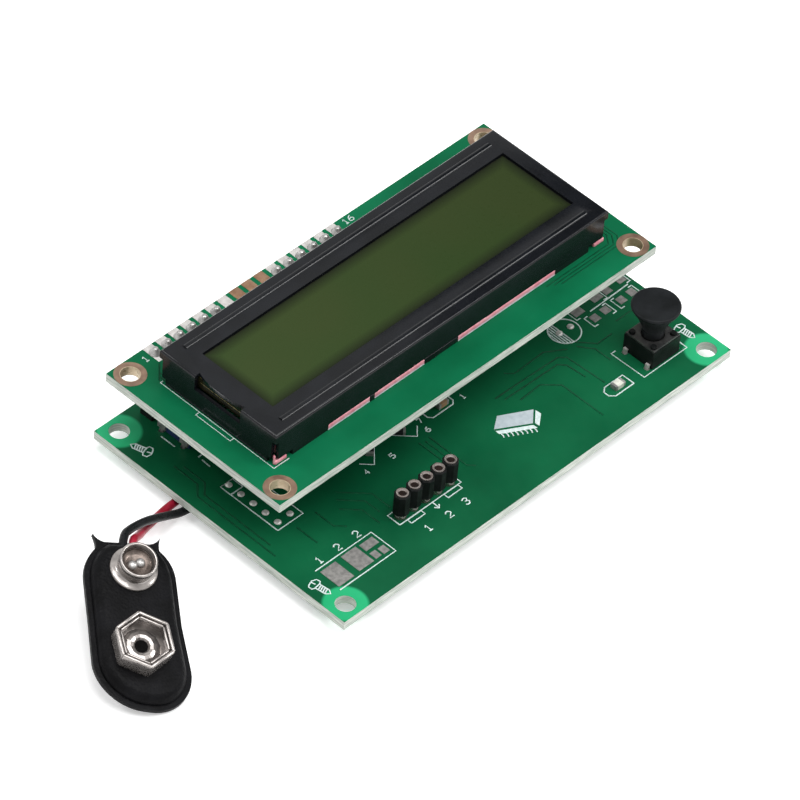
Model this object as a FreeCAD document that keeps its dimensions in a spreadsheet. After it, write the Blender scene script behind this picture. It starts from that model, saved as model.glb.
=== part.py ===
import FreeCAD, Part
import math
import os
import re
import Sketcher
from FreeCAD import Placement, Rotation, Vector

# A bench tester for electronic components: a main circuit board with a row of test sockets and a
# push button, a two-line character display plugged in above it, and a battery snap with two leads.
# Millimetres. X runs along the front edge, Y towards the display's pin header, Z up. The origin is
# under the middle of the main board, on the surface that its solder tails stand on.

# Driving sizes, one cell each
SIZES = {
    # Main board
    "board_length": 83.0,
    "board_depth": 52.0,
    "board_thick": 1.6,
    "tail_length": 2.2,
    "mount_bore": 3.2,
    "mount_inset_x": 2.75,
    "mount_inset_y": 2.5,
    # Display board
    "display_length": 80.0,
    "display_depth": 36.0,
    "display_thick": 1.6,
    "display_x": -0.9,
    "display_back": 1.3,
    "display_bore": 3.2,
    "display_inset": 2.5,
    # Pin header between the boards
    "pitch": 2.54,
    "header_inset_x": 8.3,
    "header_inset_y": 1.8,
    "strip_width": 2.5,
    "socket_height": 8.5,
    "spacer_height": 2.54,
    "pin_side": 0.64,
    "pin_above": 1.0,
    "pin_gap": 1.2,
    "pin_clearance": 0.05,
    "cell_bore": 1.5,
    "cell_floor": 1.4,
    "leaf_thick": 0.2,
    "leaf_width": 0.9,
    "leaf_height": 4.6,
    "contact_plate": 0.3,
    "tail_width": 0.6,
    "tail_thick": 0.3,
    # Solder and plated holes
    "lead_hole": 1.0,
    "slot_clearance": 0.1,
    "fillet_foot": 0.95,
    "fillet_neck": 0.5,
    "fillet_height": 0.8,
    "dome_radius": 0.75,
    "dome_height": 0.45,
    # Display frame, pressed from sheet
    "frame_length": 70.4,
    "frame_width": 24.0,
    "frame_height": 6.2,
    "frame_sheet": 0.6,
    "frame_edge": 0.45,
    "window_length": 63.6,
    "window_width": 14.6,
    "window_shift": 0.6,
    "rib_radius": 0.6,
    "rib_proud": 0.28,
    "rib_inset": 2.1,
    "rib_end": 3.0,
    "notch_height": 1.1,
    "foot_width": 7.6,
    "foot_inset": 3.8,
    "tab_width": 1.6,
    "tab_pitch": 12.2,
    "tab_shift": -2.3,
    "tab_below": 1.2,
    "tab_twist": 40.0,
    "corner_slit": 0.75,
    "slit_height": 4.6,
    "end_slot_width": 9.4,
    "end_slot_low": 3.4,
    "end_slot_depth": 1.1,
    "tongue_radius": 14.0,
    "tongue_inset": 0.15,
    # Display cell behind the frame
    "cell_clearance": 0.3,
    "glass_thick": 1.1,
    "film_thick": 0.2,
    "film_clearance": 0.2,
    "strip_thick": 1.8,
    "strip_gap": 0.6,
    "strip_end": 1.2,
    "guide_end": 3.2,
    "guide_gap": 1.4,
    "lamp_bar": 1.8,
    "blob_radius": 6.5,
    "blob_height": 1.5,
    "blob_spread": 15.0,
    "blob_offset": -2.5,
    # Test socket strip
    "test_left": 26.35,
    "test_front": 9.45,
    "test_width": 2.4,
    "test_height": 3.8,
    "test_standoff": 0.9,
    "test_notch": 0.3,
    "test_bore": 0.9,
    "test_bore_depth": 3.0,
    "test_mouth": 1.4,
    "test_mouth_depth": 0.4,
    "sleeve_width": 1.6,
    "sleeve_clearance": 0.05,
    "head_width": 1.9,
    "head_thick": 0.2,
    "tail_round": 0.6,
    # Push button
    "switch_right": 9.1,
    "switch_front": 8.1,
    "switch_side": 6.0,
    "switch_height": 3.3,
    "cover_inset": 0.1,
    "cover_thick": 0.3,
    "peg_inset": 0.8,
    "peg_radius": 0.45,
    "peg_proud": 0.35,
    "peg_clearance": 0.08,
    "well_radius": 2.35,
    "well_depth": 1.5,
    "dome_rise": 0.55,
    "dome_span": 2.1,
    "dome_sheet": 0.12,
    "plunger_radius": 1.7,
    "plunger_gap": 0.15,
    "plunger_foot": 2.05,
    "foot_clearance": 0.05,
    "plunger_show": 0.4,
    "spigot_radius": 1.1,
    "spigot_height": 2.2,
    "cap_fit": 0.03,
    "cap_sleeve": 1.75,
    "cap_sleeve_height": 1.0,
    "cap_radius": 3.85,
    "cap_height": 5.7,
    "cap_rim": 0.75,
    "cap_flare": 0.15,
    "cap_dish": 0.2,
    "terminal_out": 0.25,
    "terminal_pitch": 4.5,
    "terminal_width": 0.7,
    "terminal_thick": 0.3,
    "terminal_rise": 0.5,
    # Contrast trimmer
    "trimmer_along": 2.0,
    "trimmer_front": 5.8,
    "trimmer_side": 6.4,
    "trimmer_height": 4.6,
    "trimmer_leg_pitch": 4.6,
    "trimmer_leg_width": 1.6,
    "trimmer_leg_rise": 3.4,
    "rotor_radius": 2.3,
    "rotor_height": 1.3,
    "rotor_proud": 0.4,
    "rotor_gap": 0.3,
    "rotor_pivot": 0.8,
    "pivot_fit": 0.05,
    "pivot_depth": 1.2,
    "slot_width": 0.7,
    "slot_depth": 0.6,
    # Surface parts on the main board
    "chip_length": 2.0,
    "chip_width": 1.25,
    "chip_height": 0.55,
    "chip_end": 0.4,
    "capacitor_height": 0.9,
    "lamp_height": 0.8,
    "controller_side": 7.0,
    "controller_height": 1.0,
    "controller_lift": 0.1,
    "controller_pitch": 0.8,
    "lead_width": 0.36,
    "lead_sheet": 0.15,
    "lead_foot": 0.6,
    "lead_span": 1.0,
    "crystal_length": 11.4,
    "crystal_width": 4.7,
    "crystal_height": 3.6,
    "crystal_base": 0.5,
    "regulator_length": 4.5,
    "regulator_width": 2.5,
    "regulator_height": 1.5,
    "regulator_pitch": 1.5,
    "regulator_tab": 2.5,
    "transistor_length": 2.9,
    "transistor_width": 1.3,
    "transistor_height": 1.0,
    "transistor_pitch": 1.9,
    "pad_thick": 0.08,
    # Battery snap
    "snap_x": -57.4,
    "snap_y": 3.4,
    "snap_heading": 231.0,
    "snap_lean": 16.0,
    "snap_roll": 12.0,
    "snap_length": 26.7,
    "snap_width": 14.6,
    "snap_thick": 3.4,
    "snap_skin": 0.7,
    "snap_floor": 0.6,
    "snap_wall": 0.75,
    "snap_far": 2.0,
    "snap_flat": 0.5,
    "snap_rim": 0.8,
    "snap_mouth": 3.4,
    "snap_mouth_wall": 2.6,
    "neck_width": 9.5,
    "neck_place": 1.0,
    "neck_curve": 0.59,
    "shoulder_width": 13.8,
    "shoulder_place": 6.0,
    "ear_length": 1.3,
    "ear_spread": 5.1,
    "ear_curve": 0.26,
    "ear_back": 0.14,
    "stud_place": 5.2,
    "stud_spacing": 12.7,
    "fibre_thick": 1.0,
    "fibre_clearance": 0.1,
    "rivet_radius": 1.2,
    "rivet_clearance": 0.05,
    "stud_flange": 3.6,
    "stud_sheet": 0.35,
    "stud_waist": 2.62,
    "stud_radius": 2.86,
    "stud_height": 3.2,
    "stud_band": 1.2,
    "stud_lip": 0.55,
    "stud_dish": 1.8,
    "nut_corner": 4.35,
    "nut_height": 3.0,
    "nut_wall": 0.4,
    "petal_inside": 2.95,
    "petal_thick": 0.35,
    "petal_height": 2.5,
    "petal_slot": 0.5,
    "eyelet_bore": 0.7,
    # Battery leads
    "cord_diameter": 1.3,
    "cord_spread": 0.75,
    "cord_lift": 0.05,
    "cord_entry": 2.0,
    "core_diameter": 0.5,
    "joint_length": 2.6,
    "joint_width": 2.0,
    "joint_clear": 0.15,
    # Length by which a cut runs past the face that it opens
    "cut_over": 1.0,
}

# Places that follow from the sizes
PLACES = {
    "board_top": "tail_length + board_thick",
    "display_base": "board_top + socket_height + spacer_height",
    "display_top": "display_base + display_thick",
    "display_y": "board_depth / 2 - display_back - display_depth / 2",
    "header_start": "display_x - display_length / 2 + header_inset_x",
    "header_row": "display_y + display_depth / 2 - header_inset_y",
    "frame_top": "display_top + frame_height",
    "cell_top": "frame_top - frame_sheet",
    "front_glass_base": "cell_top - glass_thick",
    "rear_glass_base": "front_glass_base - glass_thick",
    "film_base": "rear_glass_base - film_thick",
    "ledge": "strip_thick + strip_gap",
    "guide_side": "strip_thick + guide_gap",
    "test_x": "test_left - board_length / 2",
    "test_y": "test_front - board_depth / 2",
    "test_base": "board_top + test_standoff",
    "test_top": "test_base + test_height",
    "switch_x": "board_length / 2 - switch_right",
    "switch_y": "switch_front - board_depth / 2",
    "peg_spread": "switch_side / 2 - peg_inset",
    "terminal_spread": "switch_side / 2 + terminal_out",
    "switch_top": "board_top + switch_height",
    "well_floor": "switch_top - well_depth",
    "cover_top": "switch_top + cover_thick",
    "plunger_base": "well_floor + dome_rise + foot_clearance",
    "cap_base": "cover_top + plunger_show",
    "trimmer_x": "header_start + trimmer_along",
    "trimmer_y": "header_row - trimmer_front",
    "trimmer_top": "board_top + trimmer_height",
    "rotor_base": "trimmer_top + rotor_proud - rotor_height",
    "trimmer_leg_x": "trimmer_x - trimmer_side / 2 - terminal_thick / 2",
    "socket_place": "stud_place + stud_spacing",
    "fibre_base": "snap_thick - snap_skin - fibre_thick",
    "cord_level": "snap_floor + cord_lift + cord_diameter / 2",
}

HEADER_WAYS = [0, 1, 2, 3, 4, 5, 10, 11, 12, 13, 14, 15]
STRIP_STARTS = [0, 10]
STRIP_WAYS = 6
TEST_WAYS = 5
CONTROLLER_LEADS = 8
FRAME_TABS = 3
SIDES = (-1, 1)

# Loose places of the small surface parts: x, y and turn about Z
CHIP_RESISTORS = [
    (-8.2, -4.5, -45), (-6.8, -3.1, -45), (-14.2, -4.3, 45), (-15.7, -2.8, 45), (-20.6, 3.4, 45),
    (-22.4, 5.2, 45), (13.5, 6.0, 90), (16.0, 6.0, 90), (27.0, 3.5, 0), (27.0, 6.0, 0),
]
CHIP_CAPACITORS = [
    (0.6, -4.7, 0), (-2.4, 3.4, 90), (11.6, 14.6, 0), (24.6, 12.6, 90), (-19.8, 11.8, 45),
]
TRANSISTORS = [(-25.0, -2.0, 0), (12.6, 0.6, 0), (21.8, 1.2, 90)]
CONTROLLER = (-11.0, 5.0, 45)
CRYSTAL = (3.2, 9.6, 0)
REGULATOR = (18.2, 12.4, 0)
DISPLAY_CHIPS = [
    (-30.0, -6.0, 0), (-30.0, -9.0, 0), (0.0, -10.5, 0), (4.0, -10.5, 0), (29.0, 2.0, 90), (32.0, 2.0, 90),
]
# The indicator lamp, from the right and front edges
INDICATOR = (18.4, 6.2)

# Tinned test pads: centre from the left edge, centre from the front edge, length, width
TEST_PADS = [
    (6.0, 7.4, 3.15, 3.9), (10.35, 7.55, 3.05, 3.85), (13.75, 8.5, 2.7, 1.5),
    (12.95, 6.4, 1.15, 1.4), (14.55, 6.3, 1.2, 1.4),
]
# Bare pads of an unused place: centre from the right edge, centre from the front edge, length, width
SPARE_PADS = [
    (11.45, 21.1, 2.0, 1.5), (7.1, 21.4, 2.0, 1.5), (4.8, 21.35, 1.5, 1.5), (1.5, 21.6, 1.5, 1.5),
    (10.4, 18.4, 1.4, 1.4), (8.0, 18.5, 1.4, 1.4), (4.6, 18.4, 1.4, 1.4), (2.2, 18.5, 1.4, 1.4),
]
# Solder-filled holes: a port, from the left edge and the middle, and a pair from the right and front
PROGRAM_PORT = (7.0, -0.3)
PORT_COLUMNS = 2
PORT_ROWS = 5
CAPACITOR_HOLES = [(16.8, 19.8), (14.5, 19.65)]

# Routes of the two leads, from the solder joint under the board to the snap, chosen by hand
RED_ROUTE = [(6.0, 12.4, 0.85), (-6.5, 12.4, 0.85), (-20.5, 11.0, 0.82), (-34.3, 9.5, 0.85),
             (-42.6, 9.3, 0.9), (-47.0, 8.4, 1.2), (-50.6, 6.9, 3.5), (-53.4, 5.5, 7.4)]
BLACK_ROUTE = [(6.0, 9.8, 0.85), (-6.2, 9.8, 0.85), (-19.6, 8.6, 0.82), (-33.4, 7.4, 0.85),
               (-42.2, 7.3, 0.95), (-46.2, 7.5, 3.0), (-50.0, 7.6, 6.4), (-54.0, 6.8, 9.0)]
ROUTE_ENTRY = -1.2
# Share of the shorter run that an arc of a route takes up
ROUTE_SHARE = 0.45
# Slack for picking edges by their place
NEAR = 0.01

doc = FreeCAD.newDocument("component_tester")
sheet = doc.addObject("Spreadsheet::Sheet", "sizes")
for row, (alias, amount) in enumerate(SIZES.items(), 1):
    sheet.set(f"A{row}", alias)
    sheet.set(f"B{row}", str(amount))
    sheet.setAlias(f"B{row}", alias)
doc.recompute()

WORD = re.compile(r"[A-Za-z_]+")


def link(found):
    """Point one word of a formula at the cell or place that it names."""
    word = found[0]
    if word in SIZES:
        return "sizes." + word
    return "places." + word if word in PLACES else word


def formula(text):
    """Turn a formula in plain size names into an expression on the document."""
    return WORD.sub(link, str(text))


places = doc.addObject("App::FeaturePython", "places")
for alias, text in PLACES.items():
    places.addProperty("App::PropertyFloat", alias)
    places.setExpression(alias, formula(text))
doc.recompute()


def number(alias):
    """Read a size or a place as a plain number."""
    return float(sheet.get(alias)) if alias in SIZES else float(getattr(places, alias))


def bind(thing, **formulas):
    """Tie properties of an object to formulas."""
    for path, text in formulas.items():
        thing.setExpression(path.replace("__", "."), formula(text))
    return thing


NODES = []


def keep(thing, label):
    """List an object as one of the finished sub-parts."""
    thing.Label = label
    NODES.append(thing)
    return thing


# Primitives and booleans
def box(name, centre, low, spans):
    """A box that stands on height low over the centre (x, y)."""
    block = doc.addObject("Part::Box", name)
    bind(block, Length=spans[0], Width=spans[1], Height=spans[2])
    bind(block, Placement__Base__x=f"({centre[0]}) - ({spans[0]}) / 2")
    bind(block, Placement__Base__y=f"({centre[1]}) - ({spans[1]}) / 2")
    return bind(block, Placement__Base__z=low)


def rod(name, centre, low, radius, height):
    """An upright cylinder."""
    round_bar = doc.addObject("Part::Cylinder", name)
    bind(round_bar, Radius=radius, Height=height, Placement__Base__x=centre[0])
    return bind(round_bar, Placement__Base__y=centre[1], Placement__Base__z=low)


def fuse(name, pieces):
    """One solid from several that meet."""
    joined = doc.addObject("Part::MultiFuse", name)
    joined.Shapes = pieces
    joined.Refine = True
    return joined


def cut(name, base, tools):
    """A solid less the tools."""
    rest = doc.addObject("Part::Cut", name)
    rest.Base = base
    rest.Tool = tools[0] if len(tools) == 1 else fuse(name + "_tools", tools)
    rest.Refine = True
    return rest


def spot(x, y, z=0.0, turn=0.0):
    """A placement turned about Z."""
    return Placement(Vector(x, y, z), Rotation(Vector(0, 0, 1), turn))


def group(label, seeds, spots):
    """Separate copies of the seed shapes, kept together as one sub-part."""
    doc.recompute()
    copies = []
    for place in spots:
        for seed in seeds:
            copy = seed.Shape.copy()
            copy.Placement = place.multiply(copy.Placement)
            copies.append(copy)
    feature = doc.addObject("Part::Feature", label)
    feature.Shape = Part.makeCompound(copies)
    feature.Placement = Placement()
    return keep(feature, label)


# Sketches and bodies
def plane_of(body, role):
    """One of a body's own origin planes."""
    return next(item for item in body.Origin.OriginFeatures if item.Role == role)


def sketch_on(body, role, name):
    """A sketch on one of a body's own origin planes."""
    sketch = body.newObject("Sketcher::SketchObject", name)
    sketch.AttachmentSupport = [(plane_of(body, role), "")]
    sketch.MapMode = "FlatFace"
    return sketch


def dimension(sketch, kind, where, name, text, start):
    """A named dimension that follows a formula."""
    index = sketch.addConstraint(Sketcher.Constraint(kind, *where, start))
    sketch.renameConstraint(index, name)
    sketch.setExpression("Constraints." + name, formula(text))


def worked(texts):
    """Formulas worked out to numbers, by way of a scratch property."""
    answers = []
    for text in texts:
        places.setExpression("scratch", formula(text))
        places.recompute()
        answers.append(places.scratch)
    return answers


places.addProperty("App::PropertyFloat", "scratch")


def arc_between(start, end, radius):
    """An arc from start to end. A positive radius bulges to the right of the way from start to end."""
    middle = (start + end) * 0.5
    along = end - start
    across = Vector(along.y, -along.x, 0).normalize()
    half = along.Length / 2
    sink = math.sqrt(radius * radius - half * half)
    rise = (abs(radius) - sink) * math.copysign(1.0, radius)
    return Part.Arc(start, middle + across * rise, end)


def outline(sketch, points, tag="p"):
    """A closed outline. A point is x and y, and a third formula makes the run up to it an arc."""
    corners = [Vector(*worked(point[:2]), 0) for point in points]
    first = sketch.GeometryCount
    count = len(points)
    for index, point in enumerate(points):
        start = corners[index - 1]
        end = corners[index]
        if len(point) == 2:
            sketch.addGeometry(Part.LineSegment(start, end), False)
        else:
            sketch.addGeometry(arc_between(start, end, worked([point[2]])[0]), False)
    for index, point in enumerate(points):
        edge = first + index
        after = first + (index + 1) % count
        near = nearest_end(sketch, after, corners[index])
        far = nearest_end(sketch, edge, corners[index])
        sketch.addConstraint(Sketcher.Constraint("Coincident", edge, far, after, near))
        dimension(sketch, "DistanceX", (-1, 1, edge, far), f"{tag}{index}x", point[0], corners[index].x)
        dimension(sketch, "DistanceY", (-1, 1, edge, far), f"{tag}{index}y", point[1], corners[index].y)
        if len(point) == 3:
            radius = abs(worked([point[2]])[0])
            dimension(sketch, "Radius", (edge,), f"{tag}{index}r", f"abs({point[2]})", radius)


def nearest_end(sketch, edge, corner):
    """Whether a corner is an edge's start, 1, or its end, 2."""
    gaps = [(sketch.getPoint(edge, end) - corner).Length for end in (1, 2)]
    return 1 if gaps[0] < gaps[1] else 2


def circles(sketch, rounds, tag="c"):
    """Circles given as x, y and radius."""
    for index, (x, y, radius) in enumerate(rounds):
        start = worked([x, y, radius])
        centre = Vector(start[0], start[1], 0)
        edge = sketch.addGeometry(Part.Circle(centre, Vector(0, 0, 1), start[2]), False)
        dimension(sketch, "DistanceX", (-1, 1, edge, 3), f"{tag}{index}x", x, start[0])
        dimension(sketch, "DistanceY", (-1, 1, edge, 3), f"{tag}{index}y", y, start[1])
        dimension(sketch, "Radius", (edge,), f"{tag}{index}r", radius, start[2])


def rectangle(sketch, centre, spans, tag):
    """A rectangle about a centre."""
    corners = []
    for across, up in ((-1, -1), (1, -1), (1, 1), (-1, 1)):
        x = f"({centre[0]}) + {across} * ({spans[0]}) / 2"
        y = f"({centre[1]}) + {up} * ({spans[1]}) / 2"
        corners.append((x, y))
    outline(sketch, corners, tag)


def plate(label, centre, spans, low, thick, rounds, slots=()):
    """A flat board with round holes and slots right through it."""
    body = doc.addObject("PartDesign::Body", label)
    sketch = sketch_on(body, "XY_Plane", label + "_outline")
    rectangle(sketch, centre, spans, "edge")
    pad = body.newObject("PartDesign::Pad", label + "_blank")
    pad.Profile = sketch
    bind(pad, Length=thick)
    holes = sketch_on(body, "XY_Plane", label + "_holes")
    circles(holes, rounds)
    for index, (middle, widths) in enumerate(slots):
        rectangle(holes, middle, widths, f"slot{index}n")
    pocket = body.newObject("PartDesign::Pocket", label + "_drilled")
    pocket.Profile = holes
    pocket.Type = 1
    pocket.Reversed = True
    bind(body, Placement__Base__z=low)
    return keep(body, label)


def lathe(label, points, centre=("0", "0"), low="0"):
    """A turned piece. Its outline is given as radius and height."""
    body = doc.addObject("PartDesign::Body", label)
    sketch = sketch_on(body, "XZ_Plane", label + "_profile")
    outline(sketch, points)
    turned = body.newObject("PartDesign::Revolution", label + "_turned")
    turned.Profile = sketch
    turned.ReferenceAxis = (sketch, ["V_Axis"])
    turned.Angle = 360
    bind(body, Placement__Base__x=centre[0], Placement__Base__y=centre[1])
    return bind(body, Placement__Base__z=low)


def crown(span, rise):
    """Radius of a dome about the axis, from its span and its rise."""
    return f"(({span})^2 + ({rise})^2) / (2 * ({rise}))"


def bowed(start, end, rise):
    """Radius of an arc between two points that rises so far from the straight line."""
    return f"((({end[0]}) - ({start[0]}))^2 + (({end[1]}) - ({start[1]}))^2) / (8 * {rise}) + {rise} / 2"


def from_left(x):
    """A place measured from the main board's left edge."""
    return f"({x} - board_length / 2)"


def from_right(x):
    """A place measured from the main board's right edge."""
    return f"(board_length / 2 - {x})"


def from_front(y):
    """A place measured from the main board's front edge."""
    return f"({y} - board_depth / 2)"


# Main board, drilled for its mounts and for every wire that passes through it
def corner_rounds(x, y, half_x, half_y, bore):
    """Four holes at the corners of a rectangle about x, y."""
    rounds = []
    for across in SIDES:
        for up in SIDES:
            rounds.append((f"{x} + {across} * ({half_x})", f"{y} + {up} * ({half_y})", f"{bore} / 2"))
    return rounds


def header_rounds(radius):
    """A hole for each way of the pin header."""
    return [(f"header_start + pitch * {way}", "header_row", radius) for way in HEADER_WAYS]


TEST_PLACES = [f"test_x + pitch * {way - (TEST_WAYS - 1) / 2}" for way in range(TEST_WAYS)]
SWITCH_PLACES = [
    (f"switch_x + {across} * terminal_spread", f"switch_y + {up} * terminal_pitch / 2")
    for across in SIDES for up in SIDES
]
TRIMMER_PLACES = [
    ("trimmer_leg_x", "trimmer_y - trimmer_leg_pitch / 2"),
    ("trimmer_leg_x", "trimmer_y + trimmer_leg_pitch / 2"),
    ("2 * trimmer_x - trimmer_leg_x", "trimmer_y"),
]
mount_x = "board_length / 2 - mount_inset_x"
mount_y = "board_depth / 2 - mount_inset_y"
board_rounds = corner_rounds("0", "0", mount_x, mount_y, "mount_bore")
board_rounds += header_rounds("lead_hole / 2")
board_rounds += [(x, "test_y", "lead_hole / 2") for x in TEST_PLACES]
board_rounds += [(x, y, "lead_hole / 2") for x, y in SWITCH_PLACES + TRIMMER_PLACES]
plate("main_board", ("0", "0"), ("board_length", "board_depth"), "tail_length", "board_thick", board_rounds)

# Display board, with its pin holes and the slots that the frame's tabs pass through
DISPLAY = ("display_x", "display_y")
TAB_PLACES = [
    f"display_x + tab_shift + tab_pitch * {index - (FRAME_TABS - 1) / 2}" for index in range(FRAME_TABS)
]
TAB_ROW = "(frame_width - frame_sheet) / 2"
hole_x = "display_length / 2 - display_inset"
hole_y = "display_depth / 2 - display_inset"
display_rounds = corner_rounds("display_x", "display_y", hole_x, hole_y, "display_bore")
display_rounds += header_rounds("pin_side * sqrt(2) / 2 + pin_clearance")
tab_spans = ("tab_width + 2 * slot_clearance", "frame_sheet + 2 * slot_clearance")
tab_slots = [((x, f"display_y + {side} * {TAB_ROW}"), tab_spans) for x in TAB_PLACES for side in SIDES]
plate("display_board", DISPLAY, ("display_length", "display_depth"), "display_base", "display_thick",
      display_rounds, tab_slots)

# Display frame: a pressed sheet lid with a window, ribs, wall notches and twisted tabs
lid = box("frame_blank", DISPLAY, "display_top", ("frame_length", "frame_width", "frame_height"))
doc.recompute()
lid_rim = doc.addObject("Part::Fillet", "frame_rounded")
lid_rim.Base = lid
lid_edges = []
for index, edge in enumerate(lid.Shape.Edges, 1):
    if edge.CenterOfMass.z > number("frame_top") - number("frame_edge"):
        lid_edges.append((index, number("frame_edge"), number("frame_edge")))
lid_rim.Edges = lid_edges
ribs = []
for side in SIDES:
    rib = doc.addObject("Part::Cylinder", "frame_rib")
    rib.Placement = Placement(Vector(), Rotation(Vector(0, 1, 0), 90))
    bind(rib, Radius="rib_radius", Height="frame_length - 2 * rib_end")
    bind(rib, Placement__Base__x="display_x - frame_length / 2 + rib_end")
    bind(rib, Placement__Base__y=f"display_y + {side} * (frame_width / 2 - rib_inset)")
    bind(rib, Placement__Base__z="frame_top + rib_proud - rib_radius")
    ribs.append(rib)
inside = ("frame_length - 2 * frame_sheet", "frame_width - 2 * frame_sheet")
below = "display_top - cut_over"
hollow = box("frame_hollow", DISPLAY, below, inside + ("frame_height - frame_sheet + cut_over",))
window_middle = ("display_x + window_shift", "display_y")
opening = box("frame_window", window_middle, "display_top",
              ("window_length", "window_width", "frame_height + rib_proud + cut_over"))
frame_cuts = [hollow, opening]
notch_length = "frame_length - 2 * foot_inset - 2 * foot_width"
notch_spans = (notch_length, "4 * frame_sheet", "notch_height + cut_over")
end_spans = ("foot_inset", "4 * frame_sheet", "notch_height + cut_over")
for side in SIDES:
    wall = f"display_y + {side} * {TAB_ROW}"
    frame_cuts.append(box("frame_notch", ("display_x", wall), below, notch_spans))
    for end in SIDES:
        corner_x = f"display_x + {end} * (frame_length / 2 - foot_inset / 2)"
        frame_cuts.append(box("frame_end_notch", (corner_x, wall), below, end_spans))
        slit_x = f"display_x + {end} * frame_length / 2"
        slit_y = f"display_y + {side} * frame_width / 2"
        slit = ("2 * corner_slit", "2 * corner_slit", "slit_height + cut_over")
        frame_cuts.append(box("frame_slit", (slit_x, slit_y), below, slit))
for end in SIDES:
    end_wall = f"display_x + {end} * frame_length / 2"
    end_slot = ("2 * end_slot_depth", "end_slot_width", "frame_height")
    slot_block = box("end_slot_block", (end_wall, "display_y"), "display_top + end_slot_low", end_slot)
    tongue_x = f"{end_wall} - {end} * (tongue_inset + tongue_radius)"
    tongue = rod("end_tongue", (tongue_x, "display_y"), "cell_top", "tongue_radius", "frame_height")
    frame_cuts.append(cut("frame_end_slot", slot_block, [tongue]))
frame_walls = cut("frame_walls", fuse("frame_ribbed", [lid_rim] + ribs), frame_cuts)
tabs = []
for x in TAB_PLACES:
    for side in SIDES:
        middle = (x, f"display_y + {side} * {TAB_ROW}")
        tab_height = "display_thick + tab_below + notch_height + frame_sheet"
        tab_blank = ("tab_width", "frame_sheet", tab_height)
        tabs.append(box("frame_tab", middle, "display_base - tab_below", tab_blank))
        twisted = doc.addObject("Part::Box", "frame_tab_end")
        bind(twisted, Length="tab_width", Width="frame_sheet", Height="tab_below")
        tilt = math.radians(number("tab_twist"))
        bind(twisted, Placement__Rotation__Angle="tab_twist")
        half = f"(tab_width / 2 * {math.cos(tilt)} - frame_sheet / 2 * {math.sin(tilt)})"
        rise = f"(tab_width / 2 * {math.sin(tilt)} + frame_sheet / 2 * {math.cos(tilt)})"
        bind(twisted, Placement__Base__x=f"{middle[0]} - {half}")
        bind(twisted, Placement__Base__y=f"{middle[1]} - {rise}")
        tabs.append(bind(twisted, Placement__Base__z="display_base - tab_below"))
keep(fuse("display_frame", [frame_walls] + tabs), "display_frame")

# Display cell: two glasses with films, rubber contact strips and the light behind them
cell_length = "(frame_length - 2 * frame_sheet - 2 * cell_clearance)"
cell_width = "(frame_width - 2 * frame_sheet - 2 * cell_clearance)"
front_spans = (cell_length, cell_width, "glass_thick")
keep(box("front_glass", DISPLAY, "front_glass_base", front_spans), "front_glass")
rear_spans = (cell_length, f"{cell_width} - 2 * ledge", "glass_thick")
keep(box("rear_glass", DISPLAY, "rear_glass_base", rear_spans), "rear_glass")
film_spans = ("window_length - 2 * film_clearance", "window_width - 2 * film_clearance", "film_thick")
keep(box("front_film", window_middle, "cell_top", film_spans), "front_film")
keep(box("rear_film", window_middle, "film_base", film_spans), "rear_film")
contact_spans = (f"{cell_length} - 2 * strip_end", "strip_thick", "front_glass_base - display_top")
contacts = []
for side in SIDES:
    contact_y = f"display_y + {side} * ({cell_width} - strip_thick) / 2"
    contacts.append(box("contact_strip", ("display_x", contact_y), "display_top", contact_spans))
group("contact_strips", contacts, [Placement()])
guide_length = f"({cell_length} - 2 * guide_end)"
guide_spans = (guide_length, f"{cell_width} - 2 * guide_side", "film_base - display_top")
keep(box("light_guide", DISPLAY, "display_top", guide_spans), "light_guide")
lamp_x = f"display_x + {guide_length} / 2 + lamp_bar / 2"
lamp_spans = ("lamp_bar", f"{cell_width} - 2 * guide_side", "film_base - display_top")
keep(box("lamp_strip", (lamp_x, "display_y"), "display_top", lamp_spans), "lamp_strip")
blob = doc.addObject("Part::Ellipsoid", "blob")
bind(blob, Radius1="blob_height", Radius2="blob_radius")
blob.Angle1 = -90
blob.Angle2 = 0
blob_spots = []
for side in SIDES:
    blob_x = number("display_x") + side * number("blob_spread")
    blob_spots.append(spot(blob_x, number("display_y") + number("blob_offset"), number("display_base")))
group("driver_blobs", [blob], blob_spots)


# Surface parts share one chip shape: a body between two metal ends
def chip(name, height, low_sign=1):
    """A chip's body and its pair of ends, standing on or hanging from height 0."""
    low = "0" if low_sign > 0 else f"-({height})"
    middle = box(name + "_middle", ("0", "0"), low, ("chip_length - 2 * chip_end", "chip_width", height))
    ends = []
    for side in SIDES:
        place = (f"{side} * (chip_length - chip_end) / 2", "0")
        ends.append(box(name + "_end", place, low, ("chip_end", "chip_width", height)))
    return middle, ends


def spots_on(level, listed):
    """Placements on a level from listed x, y and turn."""
    return [spot(x, y, level, turn) for x, y, turn in listed]


def formula_spots(listed, level):
    """Placements at places given as formulas."""
    return [spot(*worked([x, y]), level) for x, y in listed]


BOARD_TOP = number("board_top")
resistor, resistor_ends = chip("resistor", "chip_height")
group("chip_resistors", [resistor], spots_on(BOARD_TOP, CHIP_RESISTORS))
group("chip_resistor_ends", resistor_ends, spots_on(BOARD_TOP, CHIP_RESISTORS))
capacitor, capacitor_ends = chip("capacitor", "capacitor_height")
group("chip_capacitors", [capacitor], spots_on(BOARD_TOP, CHIP_CAPACITORS))
group("chip_capacitor_ends", capacitor_ends, spots_on(BOARD_TOP, CHIP_CAPACITORS))
lamp, lamp_ends = chip("lamp", "lamp_height")
lamp_spots = formula_spots([(from_right(INDICATOR[0]), from_front(INDICATOR[1]))], BOARD_TOP)
group("indicator_lamp", [lamp], lamp_spots)
group("indicator_lamp_ends", lamp_ends, lamp_spots)
under, under_ends = chip("under", "chip_height", -1)
display_middle = spot(number("display_x"), number("display_y"), number("display_base"))
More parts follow.
